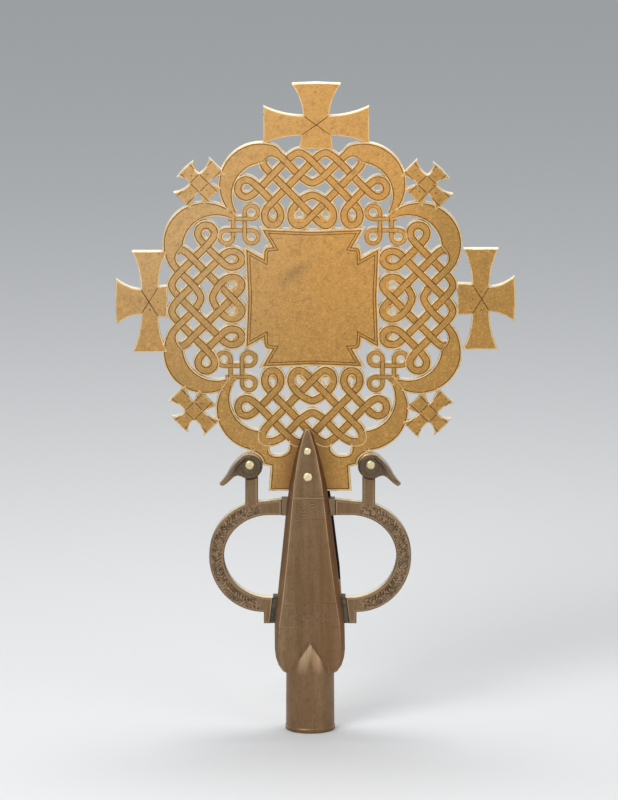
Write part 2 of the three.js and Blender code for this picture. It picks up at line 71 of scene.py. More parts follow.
def board(across, up):
    """The matrix that stands a drawing upright, with its middle at that place in millimetres."""
    return Matrix((
        (MM, 0, 0, across * MM),
        (0, 0, -MM, 0),
        (0, MM, 0, up * MM),
        (0, 0, 0, 1),
    ))


PLATE_BOARD = board(PLATE_SHIFT, PLATE_MIDDLE_Z)
SOCKET_BOARD = board(0, 0)
print("plate middle in mm:", [round(1000 * c, 1) for c in PLATE_BOARD.translation])


# %% Working on one object at a time
def only(piece):
    """Deselects everything and makes this the one selected, active object, in object mode."""
    if bpy.context.object and bpy.context.object.mode != "OBJECT":
        bpy.ops.object.mode_set(mode="OBJECT")
    bpy.ops.object.select_all(action="DESELECT")
    piece.select_set(True)
    bpy.context.view_layer.objects.active = piece
    return piece


def edit(piece, kind="VERT", action="SELECT"):
    """Opens one object in edit mode, with all of it selected or nothing."""
    only(piece)
    bpy.ops.object.mode_set(mode="EDIT")
    bpy.ops.mesh.select_mode(type=kind)
    bpy.ops.mesh.select_all(action=action)


def choose(piece, test):
    """Selects the faces that pass a test of their middle and of themselves."""
    edit(piece, "FACE", "DESELECT")
    bpy.ops.object.mode_set(mode="OBJECT")
    for face in piece.data.polygons:
        face.select = bool(test(face.center, face))
    bpy.ops.object.mode_set(mode="EDIT")


def tidied(piece, distance=0):
    """Merges the points that lie closer than a distance, and turns every face outwards."""
    edit(piece)
    if distance:
        bpy.ops.mesh.remove_doubles(threshold=distance)
    bpy.ops.mesh.normals_make_consistent(inside=False)
    bpy.ops.object.mode_set(mode="OBJECT")
    return piece


def applied(piece, kind, **settings):
    """Adds a modifier with these settings and applies it."""
    only(piece)
    modifier = piece.modifiers.new(kind.lower(), kind)
    for key, value in settings.items():
        setattr(modifier, key, value)
    bpy.ops.object.modifier_apply(modifier=modifier.name)
    return piece


def cut(piece, cutter, operation="DIFFERENCE"):
    """Cuts, joins or crosses a piece with another one, which is then thrown away."""
    for body in (piece, cutter):
        body.data.update()
    bpy.context.view_layer.update()
    applied(piece, "BOOLEAN", object=cutter, operation=operation, solver="EXACT")
    bpy.data.objects.remove(cutter)
    return piece


def join(pieces, name):
    """Joins finished pieces into one object."""
    only(pieces[0])
    for other in pieces[1:]:
        other.select_set(True)
    bpy.ops.object.join()
    pieces[0].name = name
    pieces[0].data.name = name
    return pieces[0]


def shaded(piece, degrees=24):
    """Smooth shading that stays sharp across edges steeper than this."""
    only(piece)
    bpy.ops.object.shade_smooth_by_angle(angle=math.radians(degrees))
    return piece


def in_metres(piece):
    """Takes a piece that is drawn in millimetres, in its place, to the metres of the frame."""
    piece.data.transform(Matrix.Scale(MM, 4))
    return piece


def mark(piece, **marks):
    """Writes marks that the finish reads, each with one value for every point."""
    for name, values in marks.items():
        piece.data.attributes.new(name, "FLOAT", "POINT").data.foreach_set("value", values)
    return piece


def laid(name, points, faces, stand):
    """An object of points and faces that a loop has laid, stood in its place."""
    mesh = bpy.data.meshes.new(name)
    mesh.from_pydata(points, [], faces)
    mesh.transform(stand)
    piece = bpy.data.objects.new(name, mesh)
    bpy.context.scene.collection.objects.link(piece)
    return tidied(piece)


print("helpers ready")


# %% [markdown]
# ## Lines on the board
#
# The maker scratched the interlace on the sheet with a compass and a rule. The same few moves are
# enough here: an arc, a mirror image, and a smooth line through given points.

# %% Compass and rule
# Points laid between two given ones of a smooth line
LINE_STEPS = 14


def arc(centre, radii, start, end, step=10):
    """Points on an arc between two angles in degrees."""
    count = max(2, round(abs(end - start) / step))
    angles = np.radians(np.linspace(start, end, count + 1))
    return [(centre[0] + radii[0] * math.cos(a), centre[1] + radii[1] * math.sin(a)) for a in angles]


def mirrored(points):
    return [(-x, y) for x, y in points]


def quadratic(start, control, end, steps=6):
    """A curve from start to end that leans towards its control point."""
    start, control, end = map(np.array, (start, control, end))
    shares = np.linspace(0, 1, steps + 1)
    return [tuple((1 - t) ** 2 * start + 2 * t * (1 - t) * control + t * t * end) for t in shares]


def smooth(points, closed=False, steps=LINE_STEPS):
    """A smooth line through the points, with its knots spaced by the root of their distance."""
    points = [np.array(p, float) for p in points]
    if closed:
        points = [points[-1], *points, points[0], points[1]]
    else:
        points = [2 * points[0] - points[1], *points, 2 * points[-1] - points[-2]]
    line = []
    for a, b, c, d in zip(points, points[1:], points[2:], points[3:]):
        t = [0.0]
        for p, q in ((a, b), (b, c), (c, d)):
            t.append(t[-1] + max(float(np.linalg.norm(q - p)), 1e-4) ** 0.5)
        for now in np.linspace(t[1], t[2], steps, endpoint=False):
            ab = ((t[1] - now) * a + (now - t[0]) * b) / (t[1] - t[0])
            bc = ((t[2] - now) * b + (now - t[1]) * c) / (t[2] - t[1])
            cd = ((t[3] - now) * c + (now - t[2]) * d) / (t[3] - t[2])
            abc = ((t[2] - now) * ab + (now - t[0]) * bc) / (t[2] - t[0])
            bcd = ((t[3] - now) * bc + (now - t[1]) * cd) / (t[3] - t[1])
            line.append(((t[2] - now) * abc + (now - t[1]) * bcd) / (t[2] - t[1]))
    if not closed:
        line.append(points[-2])
    return np.array(line)


print("a quarter circle has", len(arc((0, 0), (1, 1), 0, 90)), "points")

# %% [markdown]
# ## Bodies from outlines
#
# A flat piece starts as a circle whose points are set on its outline, and is raised by extrusions and
# insets. A turned or tapering body is the same face extruded once for each ring, with its points then
# set in place. A boolean needs such a closed body, so these helpers make both pieces and cutters.

# %% Outlines and steps
def primitive_outline(name, outline):
    """A flat face with this outline, on the board."""
    outline = [p for i, p in enumerate(outline) if math.dist(p, outline[i - 1]) > 1e-4]
    bpy.ops.object.select_all(action="DESELECT")
    bpy.ops.mesh.primitive_circle_add(vertices=len(outline), radius=1, fill_type="NGON")
    piece = bpy.context.object
    piece.name = piece.data.name = name
    for vertex, (x, y) in zip(piece.data.vertices, outline):
        vertex.co = (x, y, 0)
    piece.data.update()
    if piece.data.polygons[0].normal.z < 0:
        edit(piece, "FACE")
        bpy.ops.mesh.flip_normals()
        bpy.ops.object.mode_set(mode="OBJECT")
    return piece


def raised(piece, insets):
    """Raises a flat face by (inset, rise) steps, and leaves the back open for the mirror."""
    edit(piece, "FACE")
    for inset, rise in insets:
        if inset == 0:
            bpy.ops.mesh.extrude_region_move(TRANSFORM_OT_translate={"value": (0, 0, rise)})
        else:
            bpy.ops.mesh.inset(thickness=inset, depth=rise, use_even_offset=True)
    choose(piece, lambda middle, face: middle.z < 1e-6 and abs(face.normal.z) > 0.9)
    bpy.ops.mesh.delete(type="FACE")
    bpy.ops.object.mode_set(mode="OBJECT")
    return piece


def drawn_up(name, rings):
    """A closed body: a face is extruded upwards once for each ring, then every point gets its place."""
    count = len(rings[0])
    step = 2 * math.pi / count
    piece = primitive_outline(name, [(math.cos(i * step), math.sin(i * step)) for i in range(count)])
    edit(piece, "FACE")
    for _ in rings[1:]:
        bpy.ops.mesh.extrude_region_move(TRANSFORM_OT_translate={"value": (0, 0, 1)})
    bpy.ops.object.mode_set(mode="OBJECT")
    for vertex in piece.data.vertices:
        turn = round(math.atan2(vertex.co.y, vertex.co.x) / step) % count
        vertex.co = rings[round(vertex.co.z)][turn]
    return tidied(piece, 0.0005)


def turned(name, profile, steps=64, axis="Z", centre=(0, 0, 0)):
    """A turned body, drawn up ring by ring from (radius, height) pairs, along one axis."""
    ways = [(math.cos(a), math.sin(a)) for a in np.linspace(0, 2 * math.pi, steps, endpoint=False)]
    rings = [[Vector((radius * x, radius * y, height)) for x, y in ways] for radius, height in profile]
    piece = drawn_up(name, rings)
    if axis == "Y":
        piece.data.transform(Matrix.Rotation(math.radians(90), 4, "X"))
    piece.data.transform(Matrix.Translation(centre))
    piece.data.update()
    return piece


def block(name, low, high):
    """A plain block between two corners, for cutting with."""
    low, high = Vector(low), Vector(high)
    bpy.ops.object.select_all(action="DESELECT")
    bpy.ops.mesh.primitive_cube_add(size=1)
    piece = bpy.context.object
    piece.name = piece.data.name = name
    piece.data.transform(Matrix.Translation((low + high) / 2) @ Matrix.Diagonal((*(high - low), 1)))
    piece.data.update()
    return piece


print("outline helpers ready")

# %% [markdown]
# ## The woven bands
#
# Each band is flat, with a line cut along each edge about a millimetre in. Where two bands cross, the
# lines of the upper one run on and those of the lower one stop against them, and the surface dips
# there by a fraction of a millimetre. That makes a sawn sheet look woven.
#
# A curve with a bevel profile would be the usual way to make a band, but it keeps one width and one
# section, and these bands widen into crescents and dip at each crossing. So the rings of points are
# laid by a loop: 24 points round the band, at places along it that crowd together at a crossing.

# %% The band's section
BAND_HALF = 2.9
BAND_TOP = 2.6
LINE_DEPTH = 0.36
# Inset from the band's edge, height, and the marks for the finish: cut line, and worn outer rim with a
# painted highlight
BAND_SECTION = [
    (0.0, 0.0, 0, 0),
    (0.0, BAND_TOP - 0.36, 0, 0.8),
    (0.3, BAND_TOP - 0.04, 0, 1),
    (0.74, BAND_TOP, 0, 0.3),
    (1.08, BAND_TOP - LINE_DEPTH, 1, 0),
    (1.42, BAND_TOP, 0, 0),
    (None, BAND_TOP, 0, 0),
]
# How many of these points sink with the rim, where rings are laid before and after a crossing, how
# deep the lower band and the upper one's rim dip there, and from where to where the dip fades out
OUTER_POINTS = 4
UNDER_STOPS = (0.0, 1.45, 1.85, 2.1, 2.35, 2.8)
OVER_STOPS = (0.0, 1.2, 2.0, 2.4, 2.8, 3.3)
UNDER_DIP, UNDER_FADE = 0.42, (1.85, 2.35)
OVER_DIP, OVER_FADE = 0.5, (2.0, 2.8)
TUCK_FADE = 0.5
CROSSING_REACH = 1.5
LEAST_STEP = 0.12


def ramp(value, full, none):
    """1 up to full, 0 from none on, and straight between."""
    return np.clip((none - value) / (none - full), 0, 1)


def rightward(way):
    """The directions to the right of these."""
    return np.stack([way[:, 1], -way[:, 0]], 1)


class Band:
    """A flat band along a line, with what its rings need: edges, dips and painted shade under crossings."""

    def __init__(self, line, half=BAND_HALF, closed=False, rise=0.0, edges=None):
        self.line = np.array(line)
        self.closed = closed
        self.rise = rise
        self.half = half
        self.size = half / BAND_HALF
        self.edges = edges
        shifted = np.roll(self.line, -1, axis=0) if closed else self.line[1:]
        start = self.line if closed else self.line[:-1]
        lengths = np.linalg.norm(shifted - start, axis=1)
        self.along = np.concatenate([[0], np.cumsum(lengths)])
        self.length = self.along[-1]
        self.crossings = []
        self.tucks = []

    def at(self, places, values):
        """Values given at the line's points, read at places along it."""
        values = np.array(values, float)
        if self.closed:
            values = np.concatenate([values, values[:1]])
        flat = values.reshape(len(values), -1)
        read = np.stack([np.interp(places, self.along, flat[:, i]) for i in range(flat.shape[1])], 1)
        return read.reshape(len(places), *values.shape[1:])

    def directions(self):
        if self.closed:
            way = np.roll(self.line, -1, axis=0) - np.roll(self.line, 1, axis=0)
        else:
            way = np.gradient(self.line, axis=0)
        return way / np.linalg.norm(way, axis=1)[:, None]

    def cross(self, places, goes_over):
        """Finds where the band passes each crossing, and whether it goes over or under there."""
        way = self.directions()
        for place in places:
            away = np.linalg.norm(self.line - np.array(place), axis=1)
            nearest = (away <= np.roll(away, 1)) & (away < np.roll(away, -1))
            for i in np.flatnonzero((away < CROSSING_REACH) & nearest):
                falling = way[i][0] * way[i][1] < 0
                self.crossings.append((self.along[i], goes_over(place) == falling))
        return self

    def tuck(self, start, end):
        """Sinks the stretch between two places along the band under what covers it."""
        self.tucks.append((start, end))
        return self

    def away(self, stops, place):
        """How far each stop is from a place along the band."""
        distance = np.abs(stops - place)
        return np.minimum(distance, self.length - distance) if self.closed else distance

    def rings(self, pitch):
        """Places along the band, how far its rim and its surface sink there, and how much painted shade it
        gets.
        """
        stops = list(np.linspace(0, self.length, max(4, round(self.length / pitch)) + 1))
        for place, over in self.crossings:
            for offset in OVER_STOPS if over else UNDER_STOPS:
                stops += [place - offset * self.size, place + offset * self.size]
        for start, end in self.tucks:
            stops += [start - TUCK_FADE, start, end, end + TUCK_FADE]
        stops = np.array(stops)
        stops = np.mod(stops, self.length) if self.closed else np.clip(stops, 0, self.length)
        stops = np.unique(np.round(stops, 2))
        stops = stops[np.concatenate([[True], np.diff(stops) > LEAST_STEP])]
        if self.closed and self.length - stops[-1] < LEAST_STEP:
            stops = stops[:-1]
        rim, dip = np.zeros(len(stops)), np.zeros(len(stops))
        for place, over in self.crossings:
            distance = self.away(stops, place) / self.size
            if over:
                rim = np.maximum(rim, OVER_DIP * ramp(distance, *OVER_FADE))
            else:
                dip = np.maximum(dip, ramp(distance, *UNDER_FADE))
        # Painted shade on the lower band at each crossing, left off where a band is only tucked
        dark = dip.copy()
        for start, end in self.tucks:
            beyond = np.maximum(np.maximum(start - stops, stops - end), 0)
            dip = np.maximum(dip, ramp(beyond, 0, TUCK_FADE))
        return stops, rim, dip, dark


# %% From bands to a mesh
def woven(name, bands, stand, pitch=0.85):
    """One mesh of closed bands, with their cut lines, painted shade at crossings and rims marked for the
    finish.
    """
    points, faces, line_marks, rim_marks = [], [], [], []
    for band in bands:
        stops, rim, dip, dark = band.rings(pitch)
        if band.edges is None:
            middle = band.at(stops, band.line)
            way = band.at(stops, band.directions())
            across = rightward(way / np.linalg.norm(way, axis=1)[:, None])
            half = np.full(len(stops), band.half)
        else:
            right, left = (band.at(stops, edge) for edge in band.edges)
            middle = (right + left) / 2
            across = (right - left) / 2
            half = np.linalg.norm(across, axis=1)
            across /= half[:, None]
        first = len(points)
        for i in range(len(stops)):
            ring = []
            for side in (1, -1):
                part = []
                for j, (inset, height, line, wear_and_sheen) in enumerate(BAND_SECTION):
                    reach = 0 if inset is None else half[i] - inset * band.size
                    sunk = dip[i] * UNDER_DIP + (rim[i] if 0 < j < OUTER_POINTS else 0)
                    level = height and height + band.rise - sunk
                    place = middle[i] + across[i] * reach * side
                    # The line mark carries both the cut lines and the painted shade where a band passes under
                    # another
                    line_and_shade = max(line * (1 - dip[i]), dark[i] * (level > 0))
                    part.append((place[0], place[1], level, line_and_shade, wear_and_sheen * (1 - dip[i])))
                ring += part if side > 0 else part[-2::-1]
            ring += [(x, y, -level, line_and_shade, wear_and_sheen) for x, y, level, line_and_shade, wear_and_sheen in ring[-2:0:-1]]
            points += [point[:3] for point in ring]
            line_marks += [point[3] for point in ring]
            rim_marks += [point[4] for point in ring]
        size, count = len(ring), len(stops)
        for i in range(count if band.closed else count - 1):
            a, b = first + i * size, first + (i + 1) % count * size
            faces += [(a + j, a + (j + 1) % size, b + (j + 1) % size, b + j) for j in range(size)]
        if not band.closed:
            faces.append(tuple(range(first, first + size)))
            faces.append(tuple(range(first + (count - 1) * size, first + count * size))[::-1])
    piece = mark(laid(name, points, faces, stand), line=line_marks, rim=rim_marks)
    shaded(piece)
    print(f"{name}: {len(bands)} bands, {len(faces)} faces")
    return piece


# %% [markdown]
# ## One lobe
#
# All four lobes have one pattern on a lattice of columns and rows. Row 5 is next to the panel and row 1
# outside, and bands cross where a column and a row add up to an odd number. Three bands make it: a
# closed one with two teardrop loops, two round loops and an arch at each side, one that hooks from
# crescent to crescent and ties a pretzel next to the panel, and one that runs out into both crescents.
#
# In the bottom lobe the hooks turn back into the outer arch instead, so its second band is closed too.
# Its crescents are bands by themselves, which end where the tang covers them.

# %% A lobe's bands
COLUMN = 7.5
# How far loops and arches reach from their place, as shares of a column and a row
LOOP_REACH, LOOP_DROP, LOOP_SEAT = 0.61, 0.74, 0.3
ARCH_REACH = 0.64
OUTER_ARCH, PRETZEL_ARCH = (0.62, 0.58), (0.6, 0.51)
HOOK_COLUMN, HORN_COLUMN = 3.73, 2.7
CRESCENT = {"outside": 24.5, "hollow": 18.4, "shift": np.array([-2.4, -6.2]), "tip": -48, "horn": 93}
CRESCENT_POINTS = 46
# Where a horn leaves its crescent: angles on the outer circle, the seam's offset from halfway, and how
# far the hollow edge leans. Then the same for a crescent that runs down under the tang
HORN_ANGLES, HORN_SEAM, HORN_LEAN = (97, 101.5, 106, 110), (-0.2, 0.3), (3.9, 3.0)
TANG_ANGLES, TANG_LEAN = (96, 99, 102, 105), (-0.9, 0.62)
# How far beyond the hollow circle the hook's end is covered by the crescent
HOOK_COVER = 1.6
PANEL_HALF_WIDTH, PANEL_HALF_HEIGHT = 37.4, 39.4
LOBES = {
    "top": {"row": 7.8, "side": 29.0, "rise": 17.8, "panel": PANEL_HALF_HEIGHT, "turn": 0},
    "bottom": {"row": 7.8, "side": 30.6, "rise": 16.8, "panel": PANEL_HALF_HEIGHT, "turn": 180,
               "joined": True},
    "left": {"row": 7.4, "side": 31.3, "rise": 15.2, "panel": PANEL_HALF_WIDTH, "turn": 90},
    "right": {"row": 7.4, "side": 31.3, "rise": 15.2, "panel": PANEL_HALF_WIDTH, "turn": -90},
}
# The columns and rows where bands cross, on one side
CROSSED = [(0, 1), (2, 1), (1, 2), (3, 2), (2, 3), (4, 3), (1, 4), (3, 4), (0, 5)]


def on_circle(outer, angles):
    """Points on the outer circle of a crescent, at angles in degrees."""
    return [outer + CRESCENT["outside"] * np.array([math.cos(a), math.sin(a)]) for a in np.radians(angles)]


def crescent_edges(outer):
    """Points on the outer and the hollow edge of a crescent, from its tip to where its horn leaves."""
    shift = CRESCENT["shift"]
    angles = np.linspace(CRESCENT["tip"], CRESCENT["horn"], CRESCENT_POINTS)
    hollow = []
    for angle in np.radians(angles):
        ray = np.array([math.cos(angle), math.sin(angle)])
        along = shift @ ray
        reach = along + math.sqrt(CRESCENT["hollow"] ** 2 - shift @ shift + along ** 2)
        hollow.append(outer + reach * ray)
    return on_circle(outer, angles), hollow


def lobe_layout(lobe):
    """The lattice of a lobe: functions for a point and for an arc, and the middle of its crescent."""
    row_five = lobe["panel"] + LOOP_DROP * lobe["row"] + BAND_HALF - LOOP_SEAT

    def cell(column, row):
        return (column * COLUMN, row_five + (5 - row) * lobe["row"])

    def bend(column, row, reach, drop, start, end):
        return arc(cell(column, row), (reach * COLUMN, drop * lobe["row"]), start, end, 32)

    return cell, bend, np.array([lobe["side"], row_five + lobe["rise"]])


def lobe_bands(lobe, rises, crossed):
    """The bands of a lobe. Crossings in crossed go the other way than the rule says."""
    cell, bend, outer = lobe_layout(lobe)
    right = [
        cell(0, 1), cell(1, 2), cell(2, 3), cell(3, 4),
        *bend(3, 5, LOOP_REACH, LOOP_DROP, 38, -218),
        cell(3, 4), cell(4, 3),
        *bend(5, 3, ARCH_REACH, ARCH_REACH, 125, -125),
        cell(4, 3), cell(3, 2), cell(2, 1),
        *bend(1, 1, ARCH_REACH, ARCH_REACH, 50, 130),
    ]
    looped = Band(smooth(right + mirrored(right), True), closed=True, rise=rises[0])

    hook = [
        cell(HOOK_COLUMN, 0.55), cell(HOOK_COLUMN, 1.1), cell(HOOK_COLUMN - 0.23, 1.5),
        cell(3, 2), cell(2, 3), cell(1, 4),
    ]
    pretzel = [cell(0, 5), *bend(-1, 5, LOOP_REACH, LOOP_DROP, -52, -218), cell(-1, 4)]
    woven_in = [*hook, *pretzel, *bend(0, 4, *PRETZEL_ARCH, 130, 50),
                *mirrored(pretzel)[::-1], *mirrored(hook)[::-1]]
    if "joined" in lobe:
        turn = [cell(3.23, 0.41), cell(2.67, 0.56), cell(2, 1), cell(1, 2)]
        arch = bend(0, 2, *OUTER_ARCH, -135, -45)
        hooked = Band(smooth([*woven_in, *mirrored(turn), *arch, *turn[::-1]], True),
                      closed=True, rise=rises[1])
        horned = [crescent(outer, side, rises[2]) for side in (1, -1)]
    else:
        hooked = Band(smooth(woven_in), rise=rises[1])
        from_hollow = np.linalg.norm(hooked.line - (outer + CRESCENT["shift"]), axis=1)
        leaves = np.flatnonzero(from_hollow < CRESCENT["hollow"] + HOOK_COVER)[0]
        covered = hooked.along[leaves]
        hooked.tuck(-1, covered).tuck(hooked.length - covered, hooked.length + 1)
        horned = [horned_band(cell, bend, outer, rises[2])]

    places = {cell(side * u, r): (side * u, r) for u, r in CROSSED for side in (1, -1)}

    def falling_is_over(place):
        column, row = places[place]
        over = row in (1, 3) or (abs(column), row) == (1, 4)
        return over != ((column, row) in crossed)

    return [band.cross(places, falling_is_over) for band in (looped, hooked, *horned)]


def between_edges(right, left, rise):
    """A band whose two edges are given."""
    return Band((np.array(right) + np.array(left)) / 2, rise=rise, edges=(right, left))


def horned_band(cell, bend, outer, rise):
    """The band that widens into a crescent at both ends and dips in a U between the arches."""
    half = [cell(3, 0.28), cell(HORN_COLUMN - 0.2, 0.55), cell(2, 1), cell(1, 2)]
    dip = bend(0, 2, *OUTER_ARCH, -45, -135)
    middle = Band(smooth([*half, *dip, *mirrored(half)[::-1]])[LINE_STEPS:-LINE_STEPS])
    across = rightward(middle.directions()) * BAND_HALF
    right, left = middle.line + across, middle.line - across
    outside, hollow = crescent_edges(outer)
    outside += on_circle(outer, HORN_ANGLES)
    outside.append((outside[-1] + right[0]) / 2 + HORN_SEAM)
    hollow += [np.array(p) for p in quadratic(hollow[-1], left[0] + HORN_LEAN, left[0], 6)[1:-1]]
    turn = np.array([-1, 1])
    return between_edges([*outside, *right, *[p * turn for p in outside[::-1]]],
                         [*hollow, *left, *[p * turn for p in hollow[::-1]]], rise)


def crescent(outer, side, rise):
    """A crescent by itself, from its tip to where the tang covers it."""
    outside, hollow = crescent_edges(outer)
    outside += on_circle(outer, TANG_ANGLES)
    hollow += [hollow[-1] + k * np.array(TANG_LEAN) for k in (1, 2, 3, 4)]
    edges = [[p * np.array([side, 1]) for p in edge] for edge in (outside, hollow)]
    return between_edges(*edges[::side], rise)


print("lobes:", ", ".join(LOBES))


# %% The four lobes
LOBE_RISES = {"top": (0, -0.02, 0.02), "bottom": (0.1, 0.12, 0.075),
              "left": (0.01, -0.01, 0.04), "right": (0.01, -0.01, 0.04)}
HALF_TURNED = ((-2, 3), (-3, 4), (-3, 2), (-4, 3))
OTHER_WAY = {"top": (), "bottom": HALF_TURNED, "left": HALF_TURNED, "right": HALF_TURNED}
lobes = []
for place, lobe in LOBES.items():
    bands = lobe_bands(lobe, LOBE_RISES[place], OTHER_WAY[place])
    stand = PLATE_BOARD @ Matrix.Rotation(math.radians(lobe["turn"]), 4, "Z")
    lobes.append(woven(f"{place}_lobe", bands, stand))

# %% [markdown]
# ## The corner knots
#
# Where two crescents almost meet, a thin band runs from tip to tip. It crosses itself four times round
# a tiny square eye, and makes a ring at the other three corners.

# %% Corner knots
KNOT_HALF, KNOT_RING, KNOT_BAND, KNOT_RISE = 3.3, 7.1, 1.7, -0.08
KNOT_INSET = np.array([2.4, 3.8])
# The corners where the band crosses itself, from the outer one on, and those that have a ring
KNOT_CORNERS = ((1, 1), (1, -1), (-1, -1), (-1, 1))


def crescent_tip(lobe):
    """The middle of a crescent's tip, on the lobe's own board."""
    outside, hollow = crescent_edges(lobe_layout(lobe)[2])
    return (outside[0] + hollow[0]) / 2


def knot_band(tips, side, end):
    """The knot of one corner, where side and end say which."""
    middle = tips - KNOT_INSET
    radius = KNOT_RING - KNOT_HALF

    def ring(x, y, start, stop):
        return arc(middle + (x * KNOT_RING, y * KNOT_RING), (radius, radius), start, stop, 30)

    def at(x, y):
        return tuple(middle + (x * KNOT_HALF, y * KNOT_HALF))

    line = [
        at(1, 1.9), at(1, 1), at(1, -1), *ring(1, -1, 180, 450),
        at(1, -1), at(-1, -1), *ring(-1, -1, 90, 360),
        at(-1, -1), at(-1, 1), *ring(-1, 1, 0, 270),
        at(-1, 1), at(1, 1), at(1.9, 1),
    ]
    band = Band(smooth(line) * (side, end), half=KNOT_BAND, rise=KNOT_RISE)
    for index, corner in enumerate(KNOT_CORNERS):
        away = np.linalg.norm(band.line - np.array(at(*corner)) * (side, end), axis=1)
        passes = (away < 0.9) & (away <= np.roll(away, 1)) & (away < np.roll(away, -1))
        for i in np.flatnonzero(passes):
            upright = abs(band.directions()[i][1]) > 0.7
            band.crossings.append((band.along[i], upright == (index % 2 == 0)))
    return band


TIPS = {place: crescent_tip(lobe) for place, lobe in LOBES.items()}
KNOT_PLACES = [(np.array([TIPS[place][0], TIPS["left"][0]]), side, end)
               for end, place in ((1, "top"), (-1, "bottom")) for side in (-1, 1)]
corner_knots = woven("corner_knots", [knot_band(*place) for place in KNOT_PLACES], PLATE_BOARD, 0.7)

# %% [markdown]
# ## The drilled eyes
#
# The maker drilled the loops' holes round before sawing, and they stayed smaller than the loops. So
# each loop gets a filling as thick as the plate: a face with the loop's inner outline, extruded,
# mirrored for the back and drilled.

# %% Drilled eyes
EYE_RIM = 0.25
EYE_OVERLAP = 0.75
# Radius of a hole, how far it is off its loop's middle, and the filling's rise over the bands' top
LOOP_EYE = {"hole": 1.7, "off": 1.0, "rise": 0.02}
ARCH_EYE = {"hole": 2.05, "off": (-0.6, 0.2), "rise": 0.02}
PRETZEL_EYE = {"filling": 3.6, "hole": 1.8, "rise": -0.04, "filled": (1, 5.03), "drilled": (1.03, 4.93)}
KNOT_EYE = {"filling": 2.7, "hole": 1.75, "rise": -0.14}


def eye(outline, centre, kind, turn=0):
    """A filling with a round hole, on the plate's board."""
    radius, top = kind["hole"], BAND_TOP + kind["rise"]
    piece = raised(primitive_outline("eye", outline), [(0, top)])
    applied(piece, "MIRROR", use_axis=(False, False, True), merge_threshold=0.001)
    tidied(piece, 0.001)
    cut(piece, turned("drill", [
        (radius + EYE_RIM, -top - 0.02), (radius, EYE_RIM - top), (radius, top - EYE_RIM),
        (radius + EYE_RIM, top + 0.02)], 32, centre=(*centre, 0)))
    # The rim round the hole is marked for wear with a painted highlight
    rim = radius + EYE_RIM + 0.05
    mark(piece, rim=[float(math.dist(vertex.co[:2], centre) < rim) for vertex in piece.data.vertices])
    piece.data.transform(Matrix.Rotation(math.radians(turn), 4, "Z"))
    return piece


def lobe_eyes(lobe):
    """The six eyes of a lobe: next to the panel, at the crescents, and in the middle pretzel."""
    cell, _, _ = lobe_layout(lobe)
    inside = BAND_HALF - EYE_OVERLAP
    drop = inside * math.sqrt(2)
    loop_radii = (LOOP_REACH * COLUMN - inside, LOOP_DROP * lobe["row"] - inside)
    arch_radii = (ARCH_REACH * COLUMN - inside, ARCH_REACH * lobe["row"] - inside)
    (near_x, near_y), (far_x, far_y) = cell(3, 4), cell(4, 3)
    loop_y, arch_x = cell(3, 5)[1], cell(5, 3)[0]
    drilled = [
        ([*arc(cell(3, 5), loop_radii, 38, -218, 16), (near_x, near_y - drop)],
         (near_x, loop_y + LOOP_EYE["off"]), LOOP_EYE),
        ([*arc(cell(5, 3), arch_radii, 125, -125, 16), (far_x + drop, far_y)],
         (arch_x + ARCH_EYE["off"][0], far_y + ARCH_EYE["off"][1]), ARCH_EYE),
        (arc(cell(*PRETZEL_EYE["filled"]), (PRETZEL_EYE["filling"],) * 2, 0, 345, 15),
         cell(*PRETZEL_EYE["drilled"]), PRETZEL_EYE),
    ]
    return [eye([(side * x, y) for x, y in outline], (side * centre[0], centre[1]), kind, lobe["turn"])
            for outline, centre, kind in drilled for side in (1, -1)]


def knot_eyes(tips, side, end):
    """The three eyes of a corner knot, in its rings."""
    places = [tuple((tips - KNOT_INSET + np.array(corner) * KNOT_RING) * (side, end))
              for corner in KNOT_CORNERS[1:]]
    return [eye(arc(place, (KNOT_EYE["filling"],) * 2, 0, 345, 15), place, KNOT_EYE) for place in places]


eyes = [piece for lobe in LOBES.values() for piece in lobe_eyes(lobe)]
eyes += [piece for place in KNOT_PLACES for piece in knot_eyes(*place)]
drilled_eyes = join(eyes, "drilled_eyes")
drilled_eyes.data.transform(PLATE_BOARD)
shaded(drilled_eyes)
print("drilled eyes:", len(drilled_eyes.data.polygons), "faces")

# %% [markdown]
# ## Plates with a cut border
#
# The panel, the flared crosses and the tang are flat plates with filed edges. Each starts as a circle
# whose points are set on the outline. It is raised, and its edge is broken by a small slanted step. On
# the panel and the tang a border line is an inset pushed in and one brought back. Only the front is
# made. A mirror makes the back. The finish finds the lines and the worn rim, which also gets a painted
# highlight, by two marks, read from the heights.

# %% Steps, lines and dots
RIM, WEAR = 0.28, 0.004
BORDER_HALF, LINE_HALF = 0.25, 0.28


def plate_steps(top, borders=()):
    """The steps of a plate: its wall, the slanted rim, and a cut line at each inset in borders."""
    steps = [(0, top - RIM), (RIM, RIM - WEAR)]
    reached, rest = RIM, WEAR
    for border in borders:
        steps += [(border - reached - BORDER_HALF, rest),
                  (BORDER_HALF, -LINE_DEPTH), (BORDER_HALF, LINE_DEPTH)]
        reached, rest = border + BORDER_HALF, 0
    return steps if borders else [*steps, (0.5, WEAR)]


def engrave(piece, start, end, top, limit=lambda place: True, depth=LINE_DEPTH, half=LINE_HALF):
    """Cuts a straight line into the front, by three cuts whose middle one is pushed in."""
    start, end = Vector((*start, 0)), Vector((*end, 0))
    normal = (end - start).normalized().cross(Vector((0, 0, 1)))
    for offset in (-half, 0, half):
        choose(piece, lambda middle, face: middle.z > top - 0.1 and face.normal.z > 0.9 and limit(middle))
        bpy.ops.mesh.bisect(plane_co=start + normal * offset, plane_no=normal)
    bpy.ops.object.mode_set(mode="OBJECT")
    for vertex in piece.data.vertices:
        near = abs((vertex.co - start).dot(normal)) < 0.01
        if near and vertex.co.z > top - 0.1 and limit(vertex.co):
            vertex.co.z -= depth
    return piece


